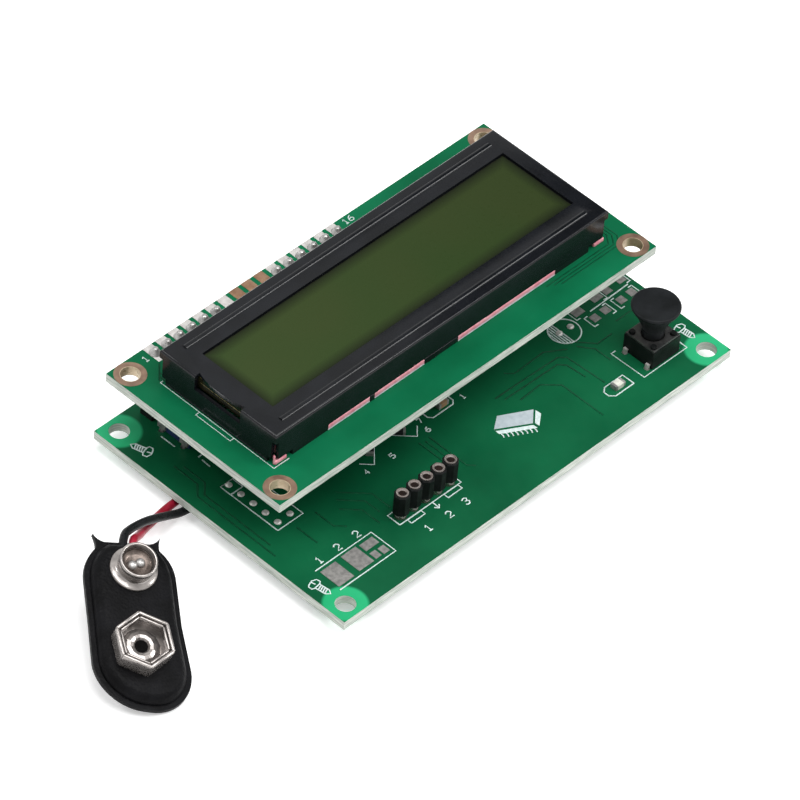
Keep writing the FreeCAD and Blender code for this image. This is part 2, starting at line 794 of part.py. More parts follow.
under_spots = [display_middle.multiply(place) for place in spots_on(0, DISPLAY_CHIPS)]
group("display_chips", [under] + under_ends, under_spots)

# Controller, turned by 45 degrees, with bent leads along all four sides
controller = box("controller_block", ("0", "0"), "controller_lift",
                 ("controller_side", "controller_side", "controller_height"))
group("microcontroller", [controller], spots_on(BOARD_TOP, [CONTROLLER]))
shoulder_height = "controller_lift + controller_height / 2"
lead_bend = "controller_side / 2 + lead_span - lead_foot"
lead_pieces = [
    box("lead_toe", (f"{lead_bend} + lead_foot / 2", "0"), "0", ("lead_foot", "lead_width", "lead_sheet")),
    box("lead_rise", (f"{lead_bend} + lead_sheet / 2", "0"), "0",
        ("lead_sheet", "lead_width", f"{shoulder_height} + lead_sheet / 2")),
    box("lead_shoulder", ("controller_side / 2 + (lead_span - lead_foot) / 2", "0"),
        f"{shoulder_height} - lead_sheet / 2", ("lead_span - lead_foot", "lead_width", "lead_sheet")),
]
bent_lead = fuse("bent_lead", lead_pieces)
lead_spots = []
for quarter in range(4):
    turned = spot(CONTROLLER[0], CONTROLLER[1], BOARD_TOP, CONTROLLER[2] + 90 * quarter)
    for index in range(CONTROLLER_LEADS):
        along = (index - (CONTROLLER_LEADS - 1) / 2) * number("controller_pitch")
        lead_spots.append(turned.multiply(spot(0, along)))
group("microcontroller_leads", [bent_lead], lead_spots)

# Crystal can on its base, regulator and transistors
base = box("crystal_foot", ("0", "0"), "0", ("crystal_length", "crystal_width", "crystal_base"))
group("crystal_base", [base], spots_on(BOARD_TOP, [CRYSTAL]))
can_radius = "(crystal_width / 2 - crystal_base)"
can_run = f"crystal_length - 2 * crystal_base - 2 * {can_radius}"
can_height = "crystal_height - crystal_base"
can_parts = [box("can_middle", ("0", "0"), "crystal_base", (can_run, f"2 * {can_radius}", can_height))]
for side in SIDES:
    can_end = (f"{side} * ({can_run}) / 2", "0")
    can_parts.append(rod("can_round", can_end, "crystal_base", can_radius, can_height))
group("crystal_can", [fuse("can", can_parts)], spots_on(BOARD_TOP, [CRYSTAL]))
regulator = box("regulator", ("0", "0"), "lead_sheet",
                ("regulator_length", "regulator_width", "regulator_height - lead_sheet"))
group("regulator_body", [regulator], spots_on(BOARD_TOP, [REGULATOR]))
regulator_lead = ("tail_width", "2 * lead_span", "lead_sheet")
regulator_leads = [
    box("regulator_lead", (f"{side} * regulator_pitch", "-regulator_width / 2"), "0", regulator_lead)
    for side in (-1, 0, 1)
]
regulator_leads.append(box("regulator_tab", ("0", "regulator_width / 2"), "0",
                           ("regulator_tab", "2 * lead_span", "lead_sheet")))
group("regulator_leads", regulator_leads, spots_on(BOARD_TOP, [REGULATOR]))
transistor = box("transistor", ("0", "0"), "lead_sheet",
                 ("transistor_length", "transistor_width", "transistor_height - lead_sheet"))
group("transistor_bodies", [transistor], spots_on(BOARD_TOP, TRANSISTORS))
transistor_lead = ("lead_width", "lead_span", "lead_sheet")
transistor_leads = [
    box("transistor_lead", (f"{side} * transistor_pitch / 2", "-transistor_width / 2"), "0",
        transistor_lead)
    for side in SIDES
]
transistor_leads.append(box("transistor_lead", ("0", "transistor_width / 2"), "0", transistor_lead))
group("transistor_leads", transistor_leads, spots_on(BOARD_TOP, TRANSISTORS))


# Tinned pads and solder-filled holes on top of the main board
def pads(label, listed, from_side):
    """Thin tinned pads on the main board, measured from one of its sides and from its front."""
    made = []
    for x, y, length, width in listed:
        middle = (from_side(x), from_front(y))
        made.append(box("tinned_pad", middle, "board_top", (length, width, "pad_thick")))
    group(label, made, [Placement()])


pads("surface_test_pads", TEST_PADS, from_left)
pads("spare_pads", SPARE_PADS, from_right)
dome = doc.addObject("Part::Ellipsoid", "dome")
bind(dome, Radius1="dome_height", Radius2="dome_radius")
dome.Angle1 = 0
dome.Angle2 = 90
dome_places = [(from_right(x), from_front(y)) for x, y in CAPACITOR_HOLES]
for column in range(PORT_COLUMNS):
    for row in range(PORT_ROWS):
        across = f"{from_left(PROGRAM_PORT[0])} + {column} * pitch"
        dome_places.append((across, f"{PROGRAM_PORT[1]} + {row - (PORT_ROWS - 1) / 2} * pitch"))
group("filled_holes", [dome], formula_spots(dome_places, BOARD_TOP))

# Pin header: two socket strips with sprung contacts, and the display's pins in their spacers
HEADER_ROW = number("header_row")
HEADER_SPOTS = [spot(number("header_start") + number("pitch") * way, HEADER_ROW) for way in HEADER_WAYS]
STRIP_SPOTS = [spot(number("header_start") + number("pitch") * way, HEADER_ROW) for way in STRIP_STARTS]
strip_middle = (f"pitch * {(STRIP_WAYS - 1) / 2}", "0")
strip_spans = (f"pitch * {STRIP_WAYS}", "strip_width")
cell_tools = []
pin_tools = []
cell_spans = ("cell_bore", "cell_bore", "socket_height")
tail_slot = ("tail_width + slot_clearance", "tail_thick + slot_clearance", "socket_height")
pin_slot = ("pin_side", "pin_side", "spacer_height + 2 * cut_over")
for way in range(STRIP_WAYS):
    place = (f"pitch * {way}", "0")
    cell_tools.append(box("cell", place, "board_top + cell_floor", cell_spans))
    cell_tools.append(box("cell_slot", place, "board_top - cut_over", tail_slot))
    pin_tools.append(box("pin_slot", place, "display_base - spacer_height - cut_over", pin_slot))
socket_block = box("socket_block", strip_middle, "board_top", strip_spans + ("socket_height",))
group("header_sockets", [cut("socket_strip", socket_block, cell_tools)], STRIP_SPOTS)
spacer_block = box("spacer_block", strip_middle, "board_top + socket_height",
                   strip_spans + ("spacer_height",))
group("header_spacers", [cut("spacer_strip", spacer_block, pin_tools)], STRIP_SPOTS)
pin_low = "(board_top + cell_floor + contact_plate + pin_gap)"
pin = box("pin", ("0", "0"), pin_low, ("pin_side", "pin_side", f"display_top + pin_above - {pin_low}"))
group("header_pins", [pin], HEADER_SPOTS)
leaf_centre = "(pin_side + leaf_thick) / 2"
contact_base = "board_top + cell_floor"
floor_spans = ("leaf_width", "pin_side + 2 * leaf_thick", "contact_plate")
contact_pieces = [box("contact_floor", ("0", "0"), contact_base, floor_spans)]
for side in SIDES:
    leaf_spans = ("leaf_width", "leaf_thick", "leaf_height")
    contact_pieces.append(box("leaf", ("0", f"{side} * {leaf_centre}"), contact_base, leaf_spans))
contact_pieces.append(box("contact_tail", ("0", "0"), "0",
                          ("tail_width", "tail_thick", f"{contact_base} + contact_plate")))
group("header_contacts", [fuse("contact", contact_pieces)], HEADER_SPOTS)

# Test sockets: turned contacts in a moulded strip that stands on their shoulders
test_tools = []
test_through = "test_height + 2 * cut_over"
for x in TEST_PLACES:
    test_tools.append(rod("test_hole", (x, "test_y"), "test_base - cut_over",
                          "sleeve_width / 2 + sleeve_clearance", test_through))
for x in TEST_PLACES[1:]:
    for side in SIDES:
        seam = (f"{x} - pitch / 2", f"test_y + {side} * test_width / 2")
        test_tools.append(box("test_seam", seam, "test_base - cut_over",
                              ("2 * test_notch", "2 * test_notch", test_through)))
test_block = box("test_block", ("test_x", "test_y"), "test_base",
                 (f"pitch * {TEST_WAYS}", "test_width", "test_height"))
keep(cut("test_strip", test_block, test_tools), "test_socket_body")
head_top = "test_top + head_thick"
bore_floor = f"{head_top} - test_mouth_depth - test_bore_depth"
test_contact = lathe("test_contact", [
    ("0", "0"), ("tail_round / 2", "0"), ("tail_round / 2", "board_top"), ("head_width / 2", "board_top"),
    ("head_width / 2", "test_base"), ("sleeve_width / 2", "test_base"), ("sleeve_width / 2", "test_top"),
    ("head_width / 2", "test_top"), ("head_width / 2", head_top), ("test_mouth / 2", head_top),
    ("test_bore / 2", f"{head_top} - test_mouth_depth"), ("test_bore / 2", bore_floor), ("0", bore_floor),
])
doc.recompute()
TEST_SPOTS = formula_spots([(x, "test_y") for x in TEST_PLACES], 0)
group("test_contacts", [test_contact], TEST_SPOTS)

# Push button: moulded base, sheet cover, snap dome, plunger, flared cap and four legs
SWITCH = ("switch_x", "switch_y")
PEGS = [(f"switch_x + {a} * peg_spread", f"switch_y + {b} * peg_spread") for a in SIDES for b in SIDES]
switch_block = box("switch_block", SWITCH, "board_top", ("switch_side", "switch_side", "switch_height"))
switch_well = rod("switch_well", SWITCH, "well_floor", "well_radius", "well_depth + cut_over")
hollow_base = cut("switch_hollow", switch_block, [switch_well])
pegs = [rod("peg", peg, "switch_top", "peg_radius", "cover_thick + peg_proud") for peg in PEGS]
keep(fuse("switch_base", [hollow_base] + pegs), "switch_base")
cover_side = "switch_side - 2 * cover_inset"
cover_sheet = box("cover_sheet", SWITCH, "switch_top", (cover_side, cover_side, "cover_thick"))
cover_low = "switch_top - cut_over"
cover_through = "cover_thick + 2 * cut_over"
cover_tools = [rod("peg_hole", peg, cover_low, "peg_radius + peg_clearance", cover_through) for peg in PEGS]
cover_tools.append(rod("plunger_hole", SWITCH, cover_low, "plunger_radius + plunger_gap", cover_through))
keep(cut("switch_cover", cover_sheet, cover_tools), "switch_cover")
inner_span = "dome_span - dome_sheet"
inner_rise = "dome_rise - dome_sheet"
dome_piece = lathe("switch_dome", [
    ("0", inner_rise), (inner_span, "0", f"-({crown(inner_span, inner_rise)})"), ("dome_span", "0"),
    ("0", "dome_rise", crown("dome_span", "dome_rise")),
], SWITCH, "well_floor")
keep(dome_piece, "switch_dome")
foot_thick = "(switch_top - foot_clearance - plunger_base)"
plunger = lathe("switch_plunger", [
    ("0", "0"), ("plunger_foot", "0"), ("plunger_foot", foot_thick), ("plunger_radius", foot_thick),
    ("plunger_radius", "cap_base - plunger_base"), ("spigot_radius", "cap_base - plunger_base"),
    ("spigot_radius", "cap_base - plunger_base + spigot_height"),
    ("0", "cap_base - plunger_base + spigot_height"),
], SWITCH, "plunger_base")
keep(plunger, "switch_plunger")
flare_start = ("cap_sleeve", "cap_sleeve_height")
flare_end = ("cap_radius - cap_rim / 4", "cap_height - cap_rim")
flare = f"-({bowed(flare_start, flare_end, 'cap_flare')})"
dish = f"-({crown('cap_radius - cap_rim / 2', 'cap_dish')})"
button = lathe("button_cap", [
    ("spigot_radius + cap_fit", "0"), ("cap_sleeve", "0"), flare_start, flare_end + (flare,),
    ("cap_radius", "cap_height - cap_rim / 2"), ("cap_radius - cap_rim / 2", "cap_height", "cap_rim / 2"),
    ("0", "cap_height - cap_dish", dish), ("0", "spigot_height + cap_fit"),
    ("spigot_radius + cap_fit", "spigot_height + cap_fit"),
], SWITCH, "cap_base")
keep(button, "button_cap")
leg_turn = "terminal_out + terminal_thick / 2"
leg_rise = "board_top + terminal_rise + terminal_thick"
leg_pieces = [
    box("leg_arm", (f"switch_side / 2 + ({leg_turn}) / 2", "0"), "board_top + terminal_rise",
        (leg_turn, "terminal_width", "terminal_thick")),
    box("leg_drop", ("terminal_spread", "0"), "0", ("terminal_thick", "terminal_width", leg_rise)),
]
leg = fuse("switch_leg", leg_pieces)
leg_spots = []
for turn in (0, 180):
    for up in SIDES:
        leg_y = number("switch_y") + up * number("terminal_pitch") / 2
        leg_spots.append(spot(number("switch_x"), leg_y, 0, turn))
group("switch_terminals", [leg], leg_spots)

# Contrast trimmer: a box with a slotted rotor that turns on a pivot
TRIMMER = ("trimmer_x", "trimmer_y")
trimmer_block = box("trimmer_block", TRIMMER, "board_top",
                    ("trimmer_side", "trimmer_side", "trimmer_height"))
rotor_floor = "rotor_base - rotor_gap"
pivot_floor = f"{rotor_floor} - pivot_depth"
trimmer_tools = [
    rod("rotor_well", TRIMMER, rotor_floor, "rotor_radius + rotor_gap", "rotor_height + cut_over"),
    rod("pivot_hole", TRIMMER, pivot_floor, "rotor_pivot + pivot_fit", "pivot_depth + cut_over"),
]
keep(cut("trimmer_body", trimmer_block, trimmer_tools), "trimmer_body")
rotor_disc = fuse("rotor_disc", [
    rod("rotor_head", TRIMMER, "rotor_base", "rotor_radius", "rotor_height"),
    rod("rotor_pin", TRIMMER, pivot_floor, "rotor_pivot", "pivot_depth + rotor_gap + rotor_height / 2"),
])
rotor_slot = box("rotor_slot", TRIMMER, "rotor_base + rotor_height - slot_depth",
                 ("slot_width", "2 * rotor_radius - slot_width", "slot_depth + cut_over"))
keep(cut("trimmer_rotor", rotor_disc, [rotor_slot]), "trimmer_rotor")
trimmer_legs = []
for index, (x, y) in enumerate(TRIMMER_PLACES):
    blade = box("trimmer_blade", (x, y), "board_top + terminal_rise",
                ("terminal_thick", "trimmer_leg_width", "trimmer_leg_rise"))
    pin_tail = box("trimmer_tail", (x, y), "0", ("terminal_thick", "terminal_width", leg_rise))
    trimmer_legs.append(fuse(f"trimmer_leg_{index}", [blade, pin_tail]))
group("trimmer_legs", trimmer_legs, [Placement()])


# Solder fillets round every wire, each with a hole of the wire's own section
def fillet(name, section, upward):
    """A solder cone on height 0, pointing up or down, with a hole for the wire."""
    cone = doc.addObject("Part::Cone", name + "_cone")
    wide = "fillet_foot" if upward else "fillet_neck"
    thin = "fillet_neck" if upward else "fillet_foot"
    bind(cone, Radius1=wide, Radius2=thin, Height="fillet_height")
    bind(cone, Placement__Base__z="0" if upward else "-fillet_height")
    if len(section) == 2:
        tool = box(name + "_wire", ("0", "0"), "-2 * fillet_height", section + ("4 * fillet_height",))
    else:
        tool = rod(name + "_wire", ("0", "0"), "-2 * fillet_height", section[0], "4 * fillet_height")
    return cut(name, cone, [tool])


TAIL = number("tail_length")
under_board = spot(0, 0, TAIL)
over_display = spot(0, 0, number("display_top"))
group("header_solder", [fillet("header_fillet", ("tail_width", "tail_thick"), False)],
      [under_board.multiply(place) for place in HEADER_SPOTS])
group("test_socket_solder", [fillet("test_fillet", ("tail_round / 2 + sleeve_clearance",), False)],
      [under_board.multiply(place) for place in TEST_SPOTS])
group("leg_solder", [fillet("leg_fillet", ("terminal_thick", "terminal_width"), False)],
      formula_spots(SWITCH_PLACES + TRIMMER_PLACES, TAIL))
group("display_solder", [fillet("display_fillet", ("pin_side", "pin_side"), True)],
      [over_display.multiply(place) for place in HEADER_SPOTS])

# Battery snap, built flat along X from its lead end, then laid down leaning on its far end and
# rolled to one side, so that it rests on the lowest point of its rounded rim
heading = Rotation(Vector(0, 0, 1), number("snap_heading"))
lean = Rotation(Vector(0, 1, 0), number("snap_lean"))
roll = Rotation(Vector(1, 0, 0), -number("snap_roll"))
snap_turn = heading.multiply(lean).multiply(roll)
down = snap_turn.inverted().multVec(Vector(0, 0, -1))
rim = number("snap_rim")
end_radius = number("snap_width") / 2 - number("snap_flat")
rim_reach = (end_radius - rim) * math.hypot(down.x, down.y) + rim * (1 + down.z)
end_reach = down.x * (number("snap_length") - end_radius) + abs(down.y) * number("snap_flat")
SNAP = Placement(Vector(number("snap_x"), number("snap_y"), end_reach + rim_reach), snap_turn)

mouth = ("0", "snap_mouth")
ear = ("-ear_length", "ear_spread")
neck = ("neck_place", "neck_width / 2")
shoulder = ("shoulder_place", "shoulder_width / 2")
far_corner = ("snap_length", "snap_width / 2")
ear_front = f"-({bowed(mouth, ear, 'ear_curve')})"
ear_rear = f"-({bowed(ear, neck, 'ear_back')})"
neck_bow = bowed(neck, shoulder, "neck_curve")


def mirrored(point):
    """The same point on the other side of the snap's middle line."""
    return (point[0], f"-({point[1]})")


def sheet_of(name, points):
    """A body with one blank as thick as the snap."""
    body = doc.addObject("PartDesign::Body", name)
    sketch = sketch_on(body, "XY_Plane", name + "_outline")
    outline(sketch, points)
    blank = body.newObject("PartDesign::Pad", name + "_blank")
    blank.Profile = sketch
    bind(blank, Length="snap_thick")
    doc.recompute()
    return body


def picked(shape, test):
    """Names of the edges that pass a test."""
    return [f"Edge{index}" for index, edge in enumerate(shape.Edges, 1) if test(edge)]


def is_far_corner(edge):
    """Whether an edge stands upright at the boot's far end."""
    return edge.BoundBox.ZLength > NEAR and edge.BoundBox.XMin > number("snap_length") - NEAR


def is_rim(edge):
    """Whether an edge lies flat and reaches beyond the boot's shoulders."""
    return edge.BoundBox.ZLength < NEAR and edge.BoundBox.XMax > number("shoulder_place") + NEAR


boot_neck = sheet_of("boot_neck", [
    mouth + (ear_front,), mirrored(mouth), mirrored(ear) + (ear_front,), mirrored(neck) + (ear_rear,),
    mirrored(shoulder) + (neck_bow,), shoulder, neck + (neck_bow,), ear + (ear_rear,),
])
boot_main = sheet_of("boot_main", [mirrored(shoulder), mirrored(far_corner), far_corner, shoulder])
main_blank = boot_main.Tip
boot_round = boot_main.newObject("PartDesign::Fillet", "boot_rounded")
boot_round.Base = (main_blank, picked(main_blank.Shape, is_far_corner))
bind(boot_round, Radius="snap_width / 2 - snap_flat")
doc.recompute()
boot_rim = boot_main.newObject("PartDesign::Fillet", "boot_rim")
boot_rim.Base = (boot_round, picked(boot_round.Shape, is_rim))
bind(boot_rim, Radius="snap_rim")
boot_main.Tip = boot_rim
boot_body = fuse("boot_body", [boot_neck, boot_main])


def slab(name, gap, low, high):
    """A flat piece that keeps a gap from the boot's inner walls, with a round far end."""
    start = f"(snap_mouth_wall + {gap})"
    radius = f"(neck_width / 2 - snap_wall - {gap})"
    run = f"(snap_length - snap_far - {gap} - {radius} - {start})"
    depth = f"{high} - ({low})"
    flat = box(name + "_flat", (f"{start} + {run} / 2", "0"), low, (run, f"2 * {radius}", depth))
    return fuse(name, [flat, rod(name + "_end", (f"{start} + {run}", "0"), low, radius, depth)])


entry_width = "2 * cord_spread + cord_diameter + 4 * fibre_clearance"
boot_tools = [
    slab("boot_pocket", "0", "snap_floor", "snap_thick - snap_skin"),
    box("boot_entry", ("0", "0"), "snap_floor",
        ("2 * snap_mouth_wall + 2 * cut_over", entry_width, "cord_diameter + 2 * fibre_clearance")),
]
rivet_hole = "rivet_radius + rivet_clearance"
for place in ("stud_place", "socket_place"):
    boot_tools.append(rod("boot_hole", (place, "0"), "fibre_base", rivet_hole, "snap_thick"))
group("snap_boot", [cut("boot", boot_body, boot_tools)], [SNAP])
fibre_slab = slab("fibre_slab", "fibre_clearance", "fibre_base", "snap_thick - snap_skin")
fibre_tools = [
    rod("fibre_hole", (place, "0"), "fibre_base - cut_over", rivet_hole, "fibre_thick + 2 * cut_over")
    for place in ("stud_place", "socket_place")
]
group("snap_plate", [cut("fibre_plate", fibre_slab, fibre_tools)], [SNAP])
stud_low = "fibre_base - snap_thick"
band_top = "(stud_height - (stud_radius - stud_waist))"
band_low = f"{band_top} - stud_band"
stud = lathe("stud_piece", [
    ("0", stud_low), ("rivet_radius", stud_low), ("rivet_radius", "0"), ("stud_flange", "0"),
    ("stud_flange", "stud_sheet"), ("stud_waist", "2 * stud_sheet"),
    ("stud_waist", f"{band_low} - stud_sheet"), ("stud_radius", band_low), ("stud_radius", band_top),
    ("stud_waist", "stud_height"),
    ("stud_radius - stud_lip", "stud_height"), ("rivet_radius", "stud_height - stud_dish"),
    ("0", "stud_height - stud_dish"),
], ("stud_place", "0"), "snap_thick")
group("snap_stud", [stud], [SNAP])
nut = doc.addObject("Part::Prism", "nut")
nut.Polygon = 6
bind(nut, Circumradius="nut_corner", Height="nut_height")
bind(nut, Placement__Base__x="socket_place", Placement__Base__z="snap_thick")
nut_hollow = doc.addObject("Part::Prism", "nut_hollow")
nut_hollow.Polygon = 6
bind(nut_hollow, Circumradius="nut_corner - nut_wall / cos(30)", Height="nut_height")
bind(nut_hollow, Placement__Base__x="socket_place", Placement__Base__z="snap_thick + stud_sheet")
NUT = ("socket_place", "0")
petal_outer = rod("petal_outer", NUT, "snap_thick", "petal_inside + petal_thick", "petal_height")
petal_tools = [rod("petal_inner", NUT, "snap_thick + stud_sheet", "petal_inside", "petal_height")]
for turn in range(3):
    slit = doc.addObject("Part::Box", "petal_slit")
    bind(slit, Length="4 * petal_inside", Width="petal_slot", Height="petal_height")
    direction = math.radians(60 * turn)
    slit.Placement = spot(0, 0, 0, 60 * turn)
    half_slit = (f"2 * petal_inside * {math.cos(direction)} - petal_slot / 2 * {math.sin(direction)}",
                 f"2 * petal_inside * {math.sin(direction)} + petal_slot / 2 * {math.cos(direction)}")
    bind(slit, Placement__Base__x=f"socket_place - ({half_slit[0]})")
    bind(slit, Placement__Base__y=f"-({half_slit[1]})")
    petal_tools.append(bind(slit, Placement__Base__z="snap_thick + stud_sheet"))
petals = cut("petals", petal_outer, petal_tools)
eyelet = rod("eyelet", NUT, "fibre_base", "rivet_radius", "snap_thick + stud_sheet - fibre_base")
nut_shell = cut("nut_shell", nut, [nut_hollow])
eyelet_hole = rod("eyelet_hole", NUT, "fibre_base - cut_over", "eyelet_bore", "nut_height + snap_thick")
nut_blank = fuse("nut_blank", [nut_shell, petals, eyelet])
group("snap_socket", [cut("nut_piece", nut_blank, [eyelet_hole])], [SNAP])


def core(name, side, place):
    """A lead's bare end, from the insulation to the solder under one rivet."""
    run = f"({place} - cord_entry)"
    wire = doc.addObject("Part::Cylinder", name + "_wire")
    wire.Placement = Placement(Vector(), Rotation(Vector(0, 1, 0), 90))
    bind(wire, Radius="core_diameter / 2", Height=run, Placement__Base__x="cord_entry")
    bind(wire, Placement__Base__y=f"{side} * cord_spread", Placement__Base__z="cord_level")
    lump_width = "(cord_spread + rivet_radius / 2)"
    lump_low = "cord_level - core_diameter"
    lump = box(name + "_lump", (place, f"{side} * {lump_width} / 2"), lump_low,
               ("joint_width", lump_width, f"fibre_base - ({lump_low})"))
    return fuse(name, [wire, lump])


group("snap_joints", [core("red_core", 1, "socket_place"), core("black_core", -1, "stud_place")], [SNAP])


# Battery leads: straight runs joined by arcs as large as the runs allow
def rounded_route(points):
    """Edges of a route with an arc at each of its corners."""
    edges = []
    start = points[0]
    for before, corner, after in zip(points, points[1:], points[2:]):
        inward = (before - corner).normalize()
        outward = (after - corner).normalize()
        reach = ROUTE_SHARE * min((before - corner).Length, (after - corner).Length)
        half_turn = (math.pi - inward.getAngle(outward)) / 2
        radius = reach / math.tan(half_turn)
        bisector = (inward + outward).normalize()
        middle = corner + bisector * (math.hypot(radius, reach) - radius)
        first = corner + inward * reach
        last = corner + outward * reach
        edges.append(Part.LineSegment(start, first).toShape())
        edges.append(Part.Arc(first, middle, last).toShape())
        start = last
    edges.append(Part.LineSegment(start, points[-1]).toShape())
    return edges


def lead(label, route, side):
    """One insulated lead, from its joint under the board to its place in the snap."""
    spread = side * number("cord_spread")
    level = number("cord_level")
    points = [Vector(*point) for point in route]
    for along in (ROUTE_ENTRY, number("cord_entry")):
        points.append(SNAP.multVec(Vector(along, spread, level)))
    path = Part.Wire(rounded_route(points))
    section = Part.Circle(points[0], points[1] - points[0], number("cord_diameter") / 2)
    tube = path.makePipeShell([Part.Wire([section.toShape()])], True, False)
    print(label, "length", round(path.Length, 2))
    feature = doc.addObject("Part::Feature", label)
    feature.Shape = tube
    feature.Placement = Placement()
    return keep(feature, label)


lead("battery_lead_red", RED_ROUTE, 1)
lead("battery_lead_black", BLACK_ROUTE, -1)
joint_spans = ("joint_length", "joint_width", "tail_length - joint_clear")
lead_lumps = [
    box("lead_lump", (f"{route[0][0]} + joint_length / 2", str(route[0][1])), "joint_clear", joint_spans)
    for route in (RED_ROUTE, BLACK_ROUTE)
]
group("lead_solder", lead_lumps, [Placement()])

# Check every object, then write one file for each sub-part
doc.recompute()
for thing in doc.Objects:
    if "Invalid" in thing.State or "Error" in thing.State:
        raise RuntimeError(f"{thing.Name} failed: {thing.State}")
os.makedirs("parts", exist_ok=True)
for node in NODES:
    shape = node.Shape
    if shape.isNull() or not shape.isValid() or not shape.Solids:
        raise RuntimeError(f"{node.Label} has no valid solid")
    shape.exportStep(f"parts/{node.Label}.step")
print(len(NODES), "sub-parts")
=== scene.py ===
# %% [markdown]
# A component tester is a stack of two green circuit boards with a character display on top and a
# battery snap trailing from it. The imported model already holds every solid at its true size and
# place. This lesson dresses that model: it sets the camera, draws the leads, mixes the finishes and
# models the small pieces that a solid model leaves out, such as print, solder and plating.

# %% Load the frame
import math

import bpy
from mathutils import Matrix, Vector


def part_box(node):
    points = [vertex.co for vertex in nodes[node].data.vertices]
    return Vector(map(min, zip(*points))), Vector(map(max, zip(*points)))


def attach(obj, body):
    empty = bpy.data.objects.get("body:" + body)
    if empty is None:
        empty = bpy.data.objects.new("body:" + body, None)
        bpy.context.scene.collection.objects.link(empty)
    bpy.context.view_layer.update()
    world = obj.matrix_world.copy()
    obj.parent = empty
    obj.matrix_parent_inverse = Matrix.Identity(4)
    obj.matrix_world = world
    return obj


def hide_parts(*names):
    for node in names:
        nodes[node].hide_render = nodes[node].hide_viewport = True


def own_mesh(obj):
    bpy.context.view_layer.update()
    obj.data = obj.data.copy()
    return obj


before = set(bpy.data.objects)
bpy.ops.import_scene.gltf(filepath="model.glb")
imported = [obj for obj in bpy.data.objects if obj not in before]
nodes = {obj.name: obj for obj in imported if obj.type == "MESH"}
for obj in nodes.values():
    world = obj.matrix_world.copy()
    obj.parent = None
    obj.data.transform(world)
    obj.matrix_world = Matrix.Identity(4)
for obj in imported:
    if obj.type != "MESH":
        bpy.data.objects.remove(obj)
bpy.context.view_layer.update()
MM = 0.001

# %% [markdown]
# The photograph was taken from far away with a long lens, so edges that run side by side stay nearly
# parallel. A camera fitted to the corners of the main board gives the place, the turn and the focal
# length. On a 36 mm sensor its lens of 320 mm is about four times as long as a portrait lens.

# %% The camera
CAMERA_PLACE = (-0.5686, -0.4841, 0.7553)
CAMERA_TURN = [math.radians(angle) for angle in (44.607, -3.671, -45.708)]
bpy.ops.object.camera_add(location=CAMERA_PLACE, rotation=CAMERA_TURN)
camera = bpy.context.object
camera.data.lens = 319.8
camera.data.sensor_width = 36.0
camera.data.clip_start = 0.1
camera.data.clip_end = 20.0
bpy.context.scene.camera = camera
bpy.context.scene.view_settings.view_transform = "Standard"
print("camera", tuple(round(value, 4) for value in camera.location))

# %% [markdown]
# The two battery leads are thin limp wires. Each one is a NURBS curve with a round bevel for its
# insulation. Its control points are those that route the solid lead, moved a little to follow
# the picture. The order is set after the points exist, because a new spline has too few points for a
# smooth order and falls back to straight runs. The thickness sits in each point's radius, so that
# Blender's own box round the curve is the true one.

# %% The battery leads
RED_ROUTE = [
    (6.0, 12.4, 0.85), (-6.5, 12.4, 0.85), (-20.5, 11.0, 0.82), (-34.3, 9.7, 0.85), (-42.0, 9.5, 0.9),
    (-46.2, 8.5, 1.6), (-49.9, 6.9, 3.5), (-53.0, 5.0, 5.7), (-55.9, 3.45, 8.3), (-58.023, 1.035, 8.197),
]
BLACK_ROUTE = [
    (6.0, 9.8, 0.85), (-6.2, 9.8, 0.85), (-19.6, 8.6, 0.82), (-33.4, 7.4, 0.85), (-41.0, 7.0, 0.9),
    (-45.2, 7.2, 2.8), (-49.6, 6.6, 5.5), (-53.9, 5.5, 7.8), (-57.0, 4.4, 9.2), (-59.217, 1.892, 8.497),
]
LEAD_DIAMETER = 1.3


def drawn_lead(name, route, node):
    """A smooth round wire along a route in millimetres, in place of its solid."""
    curve = bpy.data.curves.new(name, "CURVE")
    curve.dimensions = "3D"
    curve.bevel_depth = 1.0
    curve.bevel_resolution = 6
    curve.resolution_u = 16
    curve.use_fill_caps = True
    spline = curve.splines.new("NURBS")
    spline.points.add(len(route) - 1)
    for point, place in zip(spline.points, route):
        point.co = (*[value * MM for value in place], 1)
        point.radius = LEAD_DIAMETER / 2 * MM
    spline.order_u = 3
    spline.use_endpoint_u = True
    lead = bpy.data.objects.new(name, curve)
    bpy.context.collection.objects.link(lead)
    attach(lead, "tester")
    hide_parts(node)
    return lead


red_lead = drawn_lead("red_lead", RED_ROUTE, "battery_lead_red")
black_lead = drawn_lead("black_lead", BLACK_ROUTE, "battery_lead_black")
print("leads", red_lead.name, black_lead.name)

# %% [markdown]
# The set is a plain pale floor under a plain sky, and both should look white without lighting the
# object more. A light path node tells rays apart: those that make the picture, straight from the
# camera or by way of metal and glass, meet a bright level, and all other rays meet a low one.

# %% White for the picture alone
def feed(tree, value, socket):
    """Set a socket to a number, or link another node's output to it."""
    if isinstance(value, (int, float)):
        socket.default_value = value
    else:
        tree.links.new(value, socket)


def worked(tree, operation, *values):
    """One arithmetic step on one or two values."""
    step = tree.nodes.new("ShaderNodeMath")
    step.operation = operation
    for value, socket in zip(values, step.inputs):
        feed(tree, value, socket)
    return step.outputs[0]


def mapped(tree, value, start, stop, low=0.0, high=1.0):
    """A value carried over from one span to another."""
    span = tree.nodes.new("ShaderNodeMapRange")
    for socket, number in (("From Min", start), ("From Max", stop), ("To Min", low), ("To Max", high)):
        span.inputs[socket].default_value = number
    tree.links.new(value, span.inputs["Value"])
    return span.outputs["Result"]


